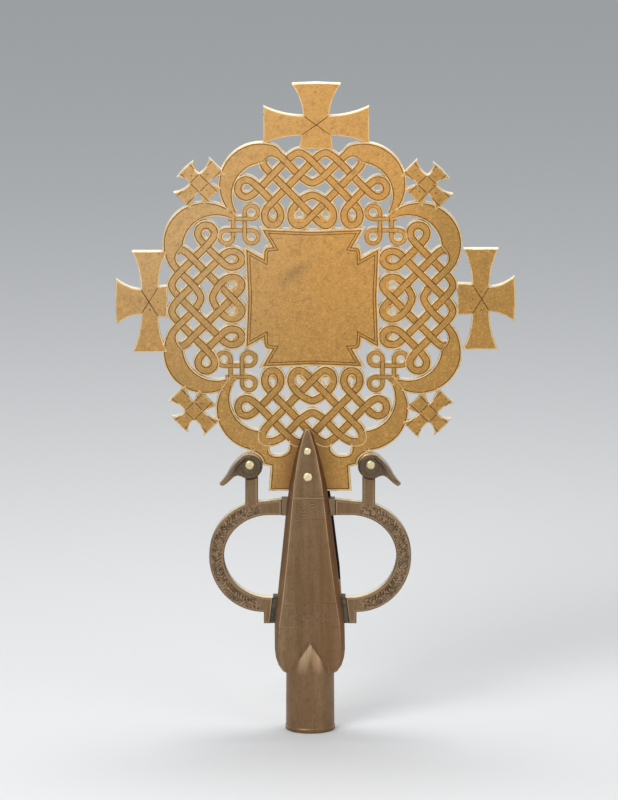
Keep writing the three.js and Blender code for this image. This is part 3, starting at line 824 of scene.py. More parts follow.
def punched(piece, places, top, size=0.6):
    """Punches round dots into the front."""
    cutters = []
    for x, y in places:
        bpy.ops.mesh.primitive_uv_sphere_add(
            segments=12, ring_count=8, radius=size, location=(x, y, top + size * 0.25))
        cutters.append(bpy.context.object)
    punch = join(cutters, "punch")
    only(punch)
    bpy.ops.object.transform_apply(location=True)
    return cut(piece, punch)


def marked(piece, top, rim=RIM):
    """Marks the cut lines and the worn rim with its painted highlight, by how far each point lies below the
    top.
    """
    below = [top - vertex.co.z for vertex in piece.data.vertices]
    return mark(
        piece,
        line=[float(LINE_DEPTH - 0.04 < fall < 1.2 and abs(fall - rim) > 0.01) for fall in below],
        rim=[1.0 if 0.002 < fall < 0.01 else 0.6 if abs(fall - rim) < 0.01 else 0.0 for fall in below])


def backed(piece, stand):
    """Mirrors the front to make the back, and stands the plate in its place."""
    applied(piece, "MIRROR", use_axis=(False, False, True), merge_threshold=0.001)
    tidied(piece, 0.0005)
    piece.data.transform(stand)
    shaded(piece)
    print(f"{piece.name}: {len(piece.data.polygons)} faces")
    return piece


# %% The middle panel
PANEL = {"arm": 30, "flare": 1.2, "inset": 5.8, "depth": 10.2, "top": 2.75, "borders": (1.45, 2.9)}


def panel_outline():
    top_end = (PANEL["arm"], PANEL_HALF_HEIGHT + PANEL["flare"])
    side_end = (PANEL_HALF_WIDTH + PANEL["flare"], PANEL["arm"])
    top_notch = (top_end[0] - PANEL["inset"], top_end[1] - PANEL["depth"])
    side_notch = (side_end[0] - PANEL["depth"], side_end[1] - PANEL["inset"])
    scallop = quadratic(top_notch, (side_notch[0], top_notch[1]), side_notch, 9)
    upper = [(0, PANEL_HALF_HEIGHT), top_end, *scallop, side_end]
    right = [*upper, (PANEL_HALF_WIDTH, 0), *[(x, -y) for x, y in upper[::-1]]]
    return [*right, *mirrored(right)[::-1][1:-1]][::-1]


panel = primitive_outline("panel", panel_outline())
raised(panel, plate_steps(PANEL["top"], PANEL["borders"]))
marked(panel, PANEL["top"])
backed(panel, PLATE_BOARD)

# %% [markdown]
# ## The flared crosses
#
# Seven small crosses with hollow sides stand round the edge: a big one on top and at each side, and a
# small one at each corner. They have no border. On the big ones two lines run from one inner corner
# to the opposite one, and on the two at the sides dots are punched between them.

# %% Flared crosses
FINIAL_TOP = 2.7
HOLLOW, CROWN = 1.3, 0.6
TOP_CROSS = {
    "out": (25.2, 13.8), "side": (30, 12.2, 9.4), "up": (7.3, 6.8), "down": (8.6, 4.6), "foot": (12.2, 9.6),
}
SIDE_CROSS = {
    "out": (19, 13.2), "side": (29.2, 9.8, 10.2), "up": (7.1, 4.8), "down": (8.8, 5.1), "foot": (0, 9.2),
}
CORNER_CROSS = {
    "out": (11.3, 6.7), "side": (14.2, 6.4, 7.6), "up": (3.7, 3.7), "down": (3.7, 3.7), "foot": (11, 7.2),
}


def cross_outline(cross):
    """The outline of a flared cross, its outer arm upwards and its foot down."""
    def hollow(start, end):
        start, end = np.array(start, float), np.array(end, float)
        chord = end - start
        inward = np.array([chord[1], -chord[0]]) / np.linalg.norm(chord)
        middle = (start + end) / 2
        if inward @ middle > 0:
            inward = -inward
        return quadratic(start, middle + inward * 2 * HOLLOW, end, 8)

    up, (down_x, down_y) = cross["up"], cross["down"]
    reach, above, below = cross["side"]
    half = [
        (cross["foot"][1], -cross["foot"][0]),
        *hollow((down_x, -down_y), (reach, -below)),
        *hollow((reach, above), up),
        *hollow(up, cross["out"][::-1])[1:],
    ]
    return [*half, (0, cross["out"][0] + CROWN), *mirrored(half)[::-1]]


def flared_cross(name, cross, across, up, turn, lines, dots):
    """One flared cross at its place on the plate, with its lines and punched dots."""
    piece = primitive_outline(name, cross_outline(cross))
    raised(piece, plate_steps(FINIAL_TOP))
    for start, end in lines:
        engrave(piece, start, end, FINIAL_TOP)
    if dots:
        punched(piece, dots, FINIAL_TOP)
    marked(piece, FINIAL_TOP)
    place = Matrix.Translation((across, up, 0)) @ Matrix.Rotation(math.radians(turn), 4, "Z")
    return backed(piece, PLATE_BOARD @ place)


def corner_lines(cross):
    """The two lines between opposite inner corners."""
    up, (down_x, down_y) = cross["up"], cross["down"]
    return [((-down_x, -down_y), up), ((down_x, -down_y), (-up[0], up[1]))]


CROWN_OF = {name: lobe_layout(lobe)[0](1, 1)[1] + ARCH_REACH * COLUMN + BAND_HALF
            for name, lobe in LOBES.items()}
SINK = 0.4
TOP_CROSS_ACROSS = 2.2
SIDE_DOTS = [(6.4, 0), (-4.6, 0), (0, 5.4), (0, -4.8)]
CORNER_DOTS = [(7.0, 0), (-7.0, 0), (0, 6), (0, -6)]
finials = [flared_cross("top_cross", TOP_CROSS, TOP_CROSS_ACROSS,
                        CROWN_OF["top"] - SINK + TOP_CROSS["foot"][0], 0, corner_lines(TOP_CROSS), [])]
for name, side, neck, rise in (("right_cross", 1, 13.5, -0.6), ("left_cross", -1, 10.1, -2.2)):
    cross = {**SIDE_CROSS, "foot": (neck, SIDE_CROSS["foot"][1])}
    place = side * (CROWN_OF[name.split("_")[0]] - SINK + neck)
    finials.append(flared_cross(name, cross, place, rise, -90 * side, corner_lines(cross), SIDE_DOTS))
waist = CORNER_CROSS["up"][0]
corners = [(-waist, -waist), (-waist, waist), (waist, waist), (waist, -waist)]
waist_lines = [(corners[a], corners[b]) for a, b in ((0, 1), (3, 2), (1, 2), (0, 3))]
for name, side, end, out, up in (
        ("upper_left_cross", -1, 1, 20.1, 20.2), ("upper_right_cross", 1, 1, 21.1, 19.4),
        ("lower_left_cross", -1, -1, 21.7, 19.2), ("lower_right_cross", 1, -1, 20.6, 20.6)):
    across = TIPS["top" if end > 0 else "bottom"][0] + out
    finials.append(flared_cross(name, CORNER_CROSS, side * across, end * (TIPS["left"][0] + up),
                                -side * (45 if end > 0 else 135), waist_lines, CORNER_DOTS))

# %% The tang
TANG_TOP, TANG_BORDER = 2.66, 1.4
HEAD_RADIUS, HEAD_X, HEAD_Z = 7.6, 34.7, 154.4
TANG = {"top": 82.2, "half_top": 22.6, "half_bottom": 23.6, "shoulder": 98.2, "reach": 112.2,
        "flange": (35, 34.6), "flange_drop": 11.5}
# The part of the bird head's circle that is cut out of the flange, in degrees
TANG_BITE = (99.7, 175.6)
# The hollow between crescent and tang, from its outer end to its inner one
TANG_HOLLOW = [(23.2, -88.0), (22.5, -90.1), (19.8, -91.2), (15.8, -91.0), (13.1, -89.2), (12.3, -88.0)]


def tang_outline():
    head = (HEAD_X, HEAD_Z - PLATE_MIDDLE_Z)
    bite = arc(head, (HEAD_RADIUS + GAP,) * 2, *TANG_BITE, 8)
    hollow = [tuple(place) for place in smooth(TANG_HOLLOW, steps=3)[::-1]]
    right = [
        (0, -TANG["top"]), (TANG_HOLLOW[-1][0], -TANG["top"]), *hollow, (TANG_HOLLOW[0][0], -TANG["top"]),
        (TANG["flange"][0], -TANG["top"]), (TANG["flange"][1], -TANG["shoulder"] + TANG["flange_drop"]),
        *bite, (TANG["half_top"], -TANG["shoulder"]), (TANG["half_bottom"], -TANG["reach"]),
    ]
    return [*right, *mirrored(right[1:])[::-1]][::-1]


tang = primitive_outline("tang", tang_outline())
raised(tang, plate_steps(TANG_TOP, [TANG_BORDER]))
marked(tang, TANG_TOP)
backed(tang, board(0, PLATE_MIDDLE_Z))

# %% [markdown]
# ## The socket and its blade
#
# The bronze casting is a round socket below and a leaf-shaped blade above, slotted to take the tang.
# The blade starts as an eight-cornered face, drawn up section by section to its tip. The round part is
# a turned profile, cut to a gable by a prism. The staff's bore, the tang's slot and the rivet holes are
# cut before the two are joined, and fine lines are scored across both faces last.

# %% The blade
FOOT_Z, TIP_Z = 33.5, 176
BLADE_HALF, BLADE_LEAN, BLADE_BEVEL = 20.1, -1.7, 3.6
FOOT_DEPTH, TIP_DEPTH = 9.5, 5.9
# Height as a share of the blade's, half width as a share of the widest, and the facet's width
BLADE_SECTIONS = np.array([
    (0, 0.65, 2), (0.0105, 0.776, 2), (0.035, 0.896, 2), (0.067, 0.97, 2), (0.102, 1, 2),
    (0.2, 0.995, 2.6), (0.256, 0.965, 3.1), (0.326, 0.896, 3.2), (0.474, 0.776, 3.3),
    (0.691, 0.607, 3), (0.782, 0.512, 2.4), (0.86, 0.393, 1.7), (0.916, 0.294, 1.2),
    (0.972, 0.169, 0.8), (1, 0.07, 0.4),
])


def blade_at(z):
    """Half width, facet width, half depth and lean of the blade at a height."""
    share = (z - FOOT_Z) / (TIP_Z - FOOT_Z)
    half, facet = (np.interp(share, BLADE_SECTIONS[:, 0], BLADE_SECTIONS[:, i]) for i in (1, 2))
    depth = FOOT_DEPTH + (TIP_DEPTH - FOOT_DEPTH) * share
    return half * BLADE_HALF, facet, depth, share * BLADE_LEAN


def blade_ring(z):
    edge, facet, depth, lean = blade_at(z)
    shoulder = depth - BLADE_BEVEL * min(1, edge / BLADE_BEVEL)
    quarter = [(edge - facet, -depth), (edge, -shoulder)]
    half = [*quarter, *[(x, -y) for x, y in quarter[::-1]]]
    return [Vector((x + lean, y, z)) for x, y in [*half, *[(-x, -y) for x, y in half]]]


blade_heights = sorted({round(FOOT_Z + share * (TIP_Z - FOOT_Z), 3) for share in
                        [*BLADE_SECTIONS[:, 0], *np.linspace(0.1, 0.97, 30)]})
blade = drawn_up("socket_body", [blade_ring(z) for z in blade_heights])
print("blade sections:", len(blade_heights))


# %% The round socket
RIM_RADIUS, NECK_RADIUS = 14.2, 13.7
BORE_RADIUS, BORE_LENGTH, BORE_TIP, BORE_RIM = 10.5, 34, 6, 0.6
GABLE_HALF, GABLE_BASE_Z, GABLE_APEX_Z = 11.4, 35.5, 52.3
SLOT_FLOOR_Z, SLOT_HALF = 87, 3.05


def prism(name, outline, reach):
    """An outline in x and z, given a depth along y that reaches that far each way."""
    rings = [[Vector((x, y, z)) for x, z in outline] for y in (-reach, reach)]
    return drawn_up(name, rings)


collar = turned("collar", [
    (RIM_RADIUS - 0.5, 0), (RIM_RADIUS, 0.5), (RIM_RADIUS, 2.2), (RIM_RADIUS - 0.25, 2.6),
    *[(RIM_RADIUS - 0.3 - 0.2 * k / 8, 2.9 + 3.9 * k) for k in range(9)],
    (NECK_RADIUS, GABLE_APEX_Z + 1)], steps=72)
gable = prism("gable", [
    (-RIM_RADIUS - 1, -1), (RIM_RADIUS + 1, -1), (RIM_RADIUS + 1, GABLE_BASE_Z), (GABLE_HALF, GABLE_BASE_Z),
    (0, GABLE_APEX_Z), (-GABLE_HALF, GABLE_BASE_Z), (-RIM_RADIUS - 1, GABLE_BASE_Z)], 16)
cut(collar, gable, "INTERSECT")
applied(collar, "BEVEL", width=0.7, segments=2, limit_method="ANGLE", angle_limit=math.radians(40))
print("collar faces:", len(collar.data.polygons))


# %% Scored lines and round cutters
SCORE_DEPTH, SCORE_HALF = 0.14, 0.2
SCORED_Z = (137.2, 135.7, 124.0, 75.3, 61.4)


def scored(piece, z, side):
    """A cut line straight across the front or the back face of the blade at a height."""
    for offset in (-SCORE_HALF, 0, SCORE_HALF):
        choose(piece, lambda middle, face: face.normal.y * side > 0.9 and abs(middle.z - z) < 9)
        bpy.ops.mesh.bisect(plane_co=(0, 0, z + offset), plane_no=(0, 0, 1))
    bpy.ops.object.mode_set(mode="OBJECT")
    for vertex in piece.data.vertices:
        if abs(vertex.co.z - z) < 0.01 and vertex.co.y * side > 0:
            vertex.co.y -= SCORE_DEPTH * side


def crosswise(name, radius, across, up, reach=14, steps=24):
    """A round cutter along y, at that place."""
    return turned(name, [(radius, -reach), (radius, reach)], steps, "Y", (across, 0, up))


# %% Cutting the bore, the slot and the rivet holes
applied(blade, "BEVEL", width=0.35, segments=2, limit_method="ANGLE", angle_limit=math.radians(30))
for body in (collar, blade):
    cut(body, turned("bore", [
        (BORE_RADIUS + BORE_RIM, -1), (BORE_RADIUS + BORE_RIM, 0), (BORE_RADIUS, BORE_RIM),
        (BORE_RADIUS, BORE_LENGTH), (1.5, BORE_LENGTH + BORE_TIP)], 48))
cut(blade, block("slot", (-BLADE_HALF - 1, -SLOT_HALF, SLOT_FLOOR_Z), (BLADE_HALF + 1, SLOT_HALF, TIP_Z + 1)))
RIVET_Z = {"lower_blade_rivet": 148.9, "upper_blade_rivet": 163.8}
RIVET_SIZE = {"lower_blade_rivet": 2.65, "upper_blade_rivet": 2.35}
SHANK = 1.4
for z in RIVET_Z.values():
    cut(blade, crosswise("drill", SHANK + GAP, blade_at(z)[3], z))
cut(blade, collar, "UNION")
tidied(blade, 0.004)
for side in (-1, 1):
    for z in SCORED_Z:
        scored(blade, z, side)
print("socket and blade:", len(blade.data.polygons), "faces")

# %% [markdown]
# In the photo the back half of the fork stands a little to the right of the front half, so that the
# slot shows as a dark line down the right edge. The whole back half is moved by that much.

# %% The back half of the fork
FORK_SHIFT, FORK_START_Z, FORK_RUN = 1.3, SLOT_FLOOR_Z - 12, 20
for vertex in blade.data.vertices:
    if vertex.co.y > 0.5 and vertex.co.z > FORK_START_Z:
        vertex.co.x += FORK_SHIFT * min(1, (vertex.co.z - FORK_START_Z) / FORK_RUN)
shaded(in_metres(blade), 26)
print("the fork's back half starts at", FORK_START_Z)

# %% [markdown]
# ## The loop arms
#
# Each arm is one casting: a crossbar, a broad loop, a post that carries the bird head, and a foot tab
# soldered to the blade. It is drawn as one outline and raised in steps that round its edge. Then two
# rows of slanted strokes are cut round the loop, on both faces, each a little off its place, as a hand
# would set them.

# %% Loop arms
ARM_TOP = 4.0
# Inset and rise of each step that rounds the edge
ARM_STEPS = [(0, ARM_TOP - 1.1), (0.25, 0.6), (0.35, 0.35), (0.45, 0.146), (0.5, 0.004)]
LOOP = {"x": 26.5, "z": 101.5, "half_width": 31.2, "half_height": 32.5}
BAND_WIDTH, HOLLOW_X = 8.5, 23
BAR_TOP, BAR_FALL, BAR_BOTTOM = 135.2, 1.6, 125.8
TAB_FLOOR, TAB_BOTTOM = 77.8, 62.4
POST_X, POST_HALF, POST_TOP = 33.4, 3.65, HEAD_Z - 6.2
EYE_X, EYE_Z = 34.5, 155.8
SOLDER = 1.7
# The play round a head, and where tenon, tongue and fork end: in the bar, in the post, over the eye
SEAT_GAP = 0.25
TENON_HALF, TENON_REACH, TENON_DEPTH, TENON_ROOT = 3.0, 3, 2.7, 3
TONGUE_DEPTH, TONGUE_ROOT, TONGUE_OVER_EYE, FORK_OVER_EYE = 2.4, 3, 3.2, 3.5
PEG_EDGE = 0.3 * MM
HATCH = {"strokes": 36, "first": -73, "last": 68, "lean": 1.7, "half": 0.42, "depth": 0.42,
         "rows": ((0.17, 0.47), (0.53, 0.83)), "astray": (0.7, 0.03)}
rng = random.Random(7)


def blade_side(z, side):
    """How far the blade's edge is from the middle on that side."""
    edge, _, _, lean = blade_at(z)
    return edge + side * lean


def arm_outline(side):
    """The outline of an arm, drawn to the right for either side."""
    solder = SOLDER + 2 * GAP
    middle_z = (BAR_BOTTOM + TAB_FLOOR) / 2
    inner = (LOOP["x"] + LOOP["half_width"] - BAND_WIDTH - HOLLOW_X, (BAR_BOTTOM - TAB_FLOOR) / 2)
    leaves = math.degrees(math.acos((POST_X + POST_HALF - LOOP["x"]) / LOOP["half_width"]))
    shoulder = blade_side(BAR_BOTTOM, side) + solder
    return [
        (shoulder, BAR_TOP), (POST_X - POST_HALF, BAR_TOP - BAR_FALL),
        (POST_X - POST_HALF, POST_TOP), (POST_X + POST_HALF, POST_TOP),
        *arc((LOOP["x"], LOOP["z"]), (LOOP["half_width"], LOOP["half_height"]), leaves, -90, 5),
        (LOOP["x"], TAB_BOTTOM), (blade_side(TAB_BOTTOM, side) + solder, TAB_BOTTOM),
        (blade_side(TAB_FLOOR, side) + solder, TAB_FLOOR),
        *arc((HOLLOW_X, middle_z), inner, -90, 90, 5),
        (shoulder, BAR_BOTTOM),
    ][::-1]


def leaf_strokes(side, row):
    """One row of strokes round the loop, as pairs of ends on the board."""
    reach = np.array([LOOP["half_width"], LOOP["half_height"]])
    lean = HATCH["lean"] * (2 * row - 1)
    turn_astray, end_astray = HATCH["astray"]
    strokes = []
    for k in range(HATCH["strokes"]):
        turn = HATCH["first"] + (HATCH["last"] - HATCH["first"]) * (k + row * 0.5) / HATCH["strokes"]
        turn += rng.uniform(-turn_astray, turn_astray)
        ends = []
        for across, angle in zip(HATCH["rows"][row], (turn - lean, turn + lean)):
            astray = rng.uniform(-end_astray, end_astray)
            inward = (1 - across + astray) * BAND_WIDTH / LOOP["half_width"]
            turned_by = math.radians(angle)
            x, z = (LOOP["x"], LOOP["z"]) + reach * (1 - inward) * (math.cos(turned_by), math.sin(turned_by))
            ends.append(Vector((x * side, z, 0)))
        strokes.append(ends)
    return strokes


def cut_leaves(piece, side):
    """Cuts two rows of slanted strokes into both faces: small wedges, joined and taken away."""
    for row in (0, 1):
        points, faces = [], []
        for start, end in leaf_strokes(side, row):
            way = (end - start).normalized()
            across = Vector((-way.y, way.x, 0)) * HATCH["half"]
            for face in (-1, 1):
                low = Vector((0, 0, face * (ARM_TOP - HATCH["depth"])))
                up = Vector((0, 0, face * (ARM_TOP + 0.3)))
                n = len(points)
                for place in (start, end):
                    points += [place + low, place - across + up, place + across + up]
                faces += [(n, n + 1, n + 2), (n + 5, n + 4, n + 3), (n, n + 3, n + 4, n + 1),
                          (n + 1, n + 4, n + 5, n + 2), (n + 2, n + 5, n + 3, n)]
        cut(piece, laid("strokes", [tuple(point) for point in points], faces, SOCKET_BOARD))
    return piece


def side_block(name, side, across, depth, up):
    """A block on one side, from two distances off the middle, a half depth and two heights."""
    ends = sorted(x * side for x in across)
    return in_metres(block(name, (ends[0], -depth, up[0]), (ends[1], depth, up[1])))


def loop_arm(name, side):
    """One arm with its tongue in the head and its tenon in the blade."""
    outline = [(x * side, z) for x, z in arm_outline(side)]
    piece = primitive_outline(name, outline[::side])
    raised(piece, ARM_STEPS)
    marked(piece, ARM_TOP, rim=0.5)
    backed(piece, SOCKET_BOARD)
    cut(piece, in_metres(crosswise("seat", HEAD_RADIUS + SEAT_GAP, HEAD_X * side, HEAD_Z, 9, 64)))
    cut_leaves(piece, side)
    reach = blade_side(BAR_BOTTOM, side) + SOLDER + 2 * GAP
    middle_z = (BAR_TOP + BAR_BOTTOM) / 2
    tenon = side_block("tenon", side, (TENON_REACH, reach + TENON_ROOT), TENON_DEPTH,
                       (middle_z - TENON_HALF, middle_z + TENON_HALF))
    tongue = side_block("tongue", side, (POST_X - POST_HALF, POST_X + POST_HALF), TONGUE_DEPTH,
                        (HEAD_Z - HEAD_RADIUS - TONGUE_ROOT, EYE_Z + TONGUE_OVER_EYE))
    for part in (tenon, tongue):
        applied(part, "BEVEL", width=PEG_EDGE, segments=2)
        cut(piece, part, "UNION")
    cut(piece, in_metres(crosswise("drill", SHANK + GAP, EYE_X * side, EYE_Z)))
    return shaded(piece, 26)


left_arm, right_arm = loop_arm("left_arm", -1), loop_arm("right_arm", 1)

# %% [markdown]
# ## The bird heads
#
# A head is a thick rounded disc with a drooping beak, forked over the tongue of its post. It is drawn
# as one outline and raised in steps that round its edge. A line is cut where the beak opens, and the
# beak is thinned towards its tip.

# %% Bird heads
HEAD_HALF = 6.0
HEAD_STEPS = [(0, 2.9), (0.25, 1.4), (0.35, 0.8), (0.4, 0.5), (0.4, 0.3), (0.4, 0.1)]
BEAK = {"upper": [(4.2, 6.1), (6.7, 3.9), (9.1, 1.1), (11.2, -2.1), (12.9, -5.3), (15.0, -8.1),
                  (17.1, -10.4)],
        "tip": [(16.6, -11.6), (15.2, -12.1)],
        "lower": [(12.9, -10.6), (10.8, -8.5), (8.7, -6.5), (6.7, -5.6)],
        "starts": HEAD_RADIUS * 0.85, "thinning": 0.048, "longest": 13}
MOUTH = ((8.0, -3.9), (14.6, -11.2))


def head_outline():
    disc = arc((0, 0), (HEAD_RADIUS, HEAD_RADIUS), -54, -300, 6)
    return [*disc, *BEAK["upper"], *BEAK["tip"], *BEAK["lower"]][::-1]


def bird_head(name, side):
    outline = [(x * side, z) for x, z in head_outline()]
    piece = primitive_outline(name, outline[::side])
    raised(piece, HEAD_STEPS)
    ends = [Vector((x * side, y, 0)) for x, y in MOUTH]
    way = (ends[1] - ends[0]).normalized()
    engrave(piece, ends[0][:2], ends[1][:2], HEAD_HALF,
            lambda place: (Vector(place) - ends[0]).dot(way) > 0, depth=0.45, half=0.25)
    # The head's rounded edge is marked for wear with a painted highlight
    line, wear_and_sheen = [], []
    for vertex in piece.data.vertices:
        x, y, height = vertex.co
        groove = abs((Vector((x, y, 0)) - ends[0]).cross(way).z) < 0.05
        line.append(float(groove and x * side > MOUTH[0][0] and height > 3))
        wear_and_sheen.append(0.5 if 4.2 < height < 5.2 else 0.0)
        beyond = max(0.0, math.hypot(x, y) - BEAK["starts"])
        vertex.co.z = height * (1 - BEAK["thinning"] * min(beyond, BEAK["longest"]))
    mark(piece, line=line, rim=wear_and_sheen)
    backed(piece, board(HEAD_X * side, HEAD_Z))
    cut(piece, side_block("fork", side, (POST_X - POST_HALF - GAP, POST_X + POST_HALF + GAP),
                          TONGUE_DEPTH + GAP, (HEAD_Z - HEAD_RADIUS - 1, EYE_Z + FORK_OVER_EYE)))
    cut(piece, in_metres(crosswise("drill", SHANK + GAP, EYE_X * side, EYE_Z)))
    return shaded(piece, 40)


left_head, right_head = bird_head("left_head", -1), bird_head("right_head", 1)

# %% [markdown]
# ## Rivets and solder
#
# The rivets are pale brass pins with hammered heads on both sides. The solder was melted into the gaps
# between blade and arms, so it is a block with a lumpy, sagging surface.

# %% Rivets
# How high a rivet's head is, how wide its tip, how sharply it curves, and how deep its dents are
DOME, DOME_TIP, DOME_CURVE, DENTS = 1.3, 0.15, 0.8, 0.035
EYE_RIVET_SIZE = 2.7


def rivet(name, across, up, size, grip):
    """A pin along y with a hammered head on each end."""
    dome = [(size * math.cos(a), grip + DOME * math.sin(a) ** DOME_CURVE)
            for a in np.radians(range(0, 91, 10))]
    dome[-1] = (DOME_TIP, grip + DOME)
    profile = [(r, -h) for r, h in dome[::-1]] + [(SHANK, -grip), (SHANK, grip)] + dome
    piece = turned(name, profile, 28, "Y")
    for vertex in piece.data.vertices:
        if abs(vertex.co.y) > grip + 0.02:
            bump = noise.noise(vertex.co * 0.9 + Vector((across, up, 0)))
            vertex.co *= 1 + DENTS * bump
            vertex.co.y = math.copysign(min(abs(vertex.co.y), grip + DOME * (0.9 + 0.1 * bump)), vertex.co.y)
    piece.data.transform(Matrix.Translation((across, 0, up)))
    return shaded(in_metres(piece), 50)


rivets = [(rivet(f"{node}_hammered", blade_at(z)[3], z, RIVET_SIZE[node], blade_at(z)[2] + GAP), node)
          for node, z in RIVET_Z.items()]
rivets += [(rivet(f"{node}_hammered", EYE_X * side, EYE_Z, EYE_RIVET_SIZE, HEAD_HALF + GAP), node)
           for node, side in (("left_eye_rivet", -1), ("right_eye_rivet", 1))]
print("rivets:", [piece.name for piece, _ in rivets])


# %% Solder
# How deep the lumps are, how far the solder sags and spreads, and how thin the upper blocks are
LUMPS, SOLDER_SAG, SOLDER_SPREAD, UPPER_THINNED = 0.35, 0.07, 0.35, 0.92


def solder(node):
    """A lumpy block in the place of one of the CAD's solder blocks."""
    low, high = (Vector(corner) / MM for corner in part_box(node))
    piece = block(f"{node}_lump", low, high)
    edit(piece)
    bpy.ops.mesh.subdivide(number_cuts=7)
    bpy.ops.object.mode_set(mode="OBJECT")
    middle, width = (low + high) / 2, (high - low).x
    side = math.copysign(1, middle.x)
    for vertex in piece.data.vertices:
        place = vertex.co.copy()
        edge = blade_side(min(max(place.z, FOOT_Z), TIP_Z), side) + GAP - SOLDER_SPREAD
        inner = (place.x * side - (middle.x * side - width / 2)) / width
        outer = edge + SOLDER + SOLDER_SPREAD if "lower" in node else high.x if side > 0 else -low.x
        outer += SOLDER_SPREAD
        vertex.co.x = side * (edge + inner * (outer - edge))
        bump = noise.noise(place * 0.45) + 0.5 * noise.noise(place * 1.1)
        vertex.co.y -= math.copysign(LUMPS * (0.6 + bump), place.y) if abs(place.y) > 4 else 0
        if "upper" in node:
            vertex.co.y *= UPPER_THINNED
            vertex.co.z += (middle.z - place.z) * SOLDER_SAG
    return shaded(tidied(in_metres(piece), 1e-7), 50)


solders = [(solder(node), node) for node in
           ("left_upper_solder", "right_upper_solder", "left_lower_solder", "right_lower_solder")]
print("solder:", [piece.name for piece, _ in solders])

# %% [markdown]
# ## Finishes
#
# The brass is golden and worn, dark in its cut lines, with small pits. Painted highlights lie on its
# rims and walls, and painted shade where bands pass under and round the blade. The bronze is browner,
# with painted coppery shading on its side facets and painted shade in its slot. Each finish is one
# metal shader whose colour, roughness and bump come from noise at several scales. Sums on sockets are
# written as plain Python, through one class.

# %% Shader sums
class Shade:
    """An output socket that can stand in a sum: each sum adds its Math nodes."""

    def __init__(self, nodes, socket):
        self.nodes = nodes
        self.socket = socket

    def math(self, operation, *values):
        return self.nodes.node("ShaderNodeMath", {"operation": operation}, dict(enumerate(values)))

    def __add__(self, other):
        return self.math("ADD", self, other)

    def __sub__(self, other):
        return self.math("SUBTRACT", self, other)

    def __rsub__(self, other):
        return self.math("SUBTRACT", other, self)

    def __mul__(self, other):
        return self.math("MULTIPLY", self, other)

    def __pow__(self, other):
        return self.math("POWER", self, other)

    def __abs__(self):
        return self.math("ABSOLUTE", self)

    __radd__ = __add__
    __rmul__ = __mul__

    def larger(self, other):
        return self.math("MAXIMUM", self, other)

    def between(self, low, high):
        """0 up to low, 1 from high on, and an even rise between them. High may be the smaller."""
        return self.nodes.node("ShaderNodeMapRange", {"clamp": True}, {0: self, 1: low, 2: high})


class Nodes:
    """A tree of nodes, with one method that adds any node to it."""

    def __init__(self, tree):
        self.tree = tree

    def node(self, kind, settings=None, inputs=None, output=0):
        """Adds a node, makes its settings, fills its sockets, and returns one of its outputs."""
        node = self.tree.nodes.new(kind)
        for key, value in (settings or {}).items():
            setattr(node, key, value)
        for key, value in (inputs or {}).items():
            self.fill(node.inputs[key], value)
        return Shade(self, node.outputs[output])

    def fill(self, socket, value):
        if isinstance(value, Shade):
            self.tree.links.new(value.socket, socket)
        else:
            socket.default_value = value


class Finish(Nodes):
    """A material in the making, whose colour grows by one layer after another."""

    def __init__(self, name, *colour):
        self.material = bpy.data.materials.new(name)
        self.material.use_nodes = True
        super().__init__(self.material.node_tree)
        self.place = self.node("ShaderNodeTexCoord", output="Object")
        self.x, self.y, self.z = (part * 1000 for part in self.parts(self.place))
        self.colour = paint(*colour)

    def parts(self, vector):
        """The x, y and z of a vector."""
        return [self.node("ShaderNodeSeparateXYZ", {}, {0: vector}, axis) for axis in range(3)]

    def facing(self):
        """How far the surface looks sideways, inwards and upwards."""
        return self.parts(self.node("ShaderNodeNewGeometry", output="Normal"))

    def over(self, share, *colour):
        """Lays a colour over what is there, by that share."""
        self.colour = self.node("ShaderNodeMix", {"data_type": "RGBA"},
                                {0: share, 6: self.colour, 7: paint(*colour)}, 2)

    def mark(self, name):
        return self.node("ShaderNodeAttribute", {"attribute_name": name}, output="Fac")

    def noise(self, size, detail=3.0, rough=0.55, warp=0.0, stretch=None, turn=(0, 0, 0)):
        """Noise whose clouds are about so many millimetres wide, drawn out where stretch is small."""
        place = self.place
        if stretch:
            place = self.node("ShaderNodeMapping", {}, {"Vector": place, "Rotation": turn, "Scale": stretch})
        return self.node("ShaderNodeTexNoise", {}, {
            "Vector": place, "Scale": 1000 / size, "Detail": detail, "Roughness": rough, "Distortion": warp})

    def pits(self, size, share, radius):
        """Round specks: one cell in a few has one, where the share says how many."""
        inputs = {"Vector": self.place, "Scale": 1000 / size}
        away = self.node("ShaderNodeTexVoronoi", {}, inputs, "Distance")
        cell = self.node("ShaderNodeTexVoronoi", {}, inputs, "Color")
        chance = self.node("ShaderNodeSeparateColor", {}, {0: cell})
        return away.between(radius, radius * 0.5) * chance.between(share + 0.02, share)

    def done(self, rough, metal, height, depth):
        """Sets the shader's sockets: height is 0 to 1, and depth its size in millimetres."""
        bump = self.node("ShaderNodeBump", {}, {"Height": height, "Distance": depth * MM, "Strength": 1.0})
        sockets = self.tree.nodes["Principled BSDF"].inputs
        for name, value in (("Base Color", self.colour), ("Roughness", rough), ("Metallic", metal),
                            ("Normal", bump)):
            self.fill(sockets[name], value)
        print(f"{self.material.name}: {len(self.tree.nodes)} nodes")
        return self.material


def paint(red, green, blue):
    """A colour of 0 to 255, as it looks, in the linear values that a shader takes."""
    share = np.array([red, green, blue]) / 255
    linear = np.where(share <= 0.04045, share / 12.92, ((share + 0.055) / 1.055) ** 2.4)
    return (*map(float, linear), 1.0)


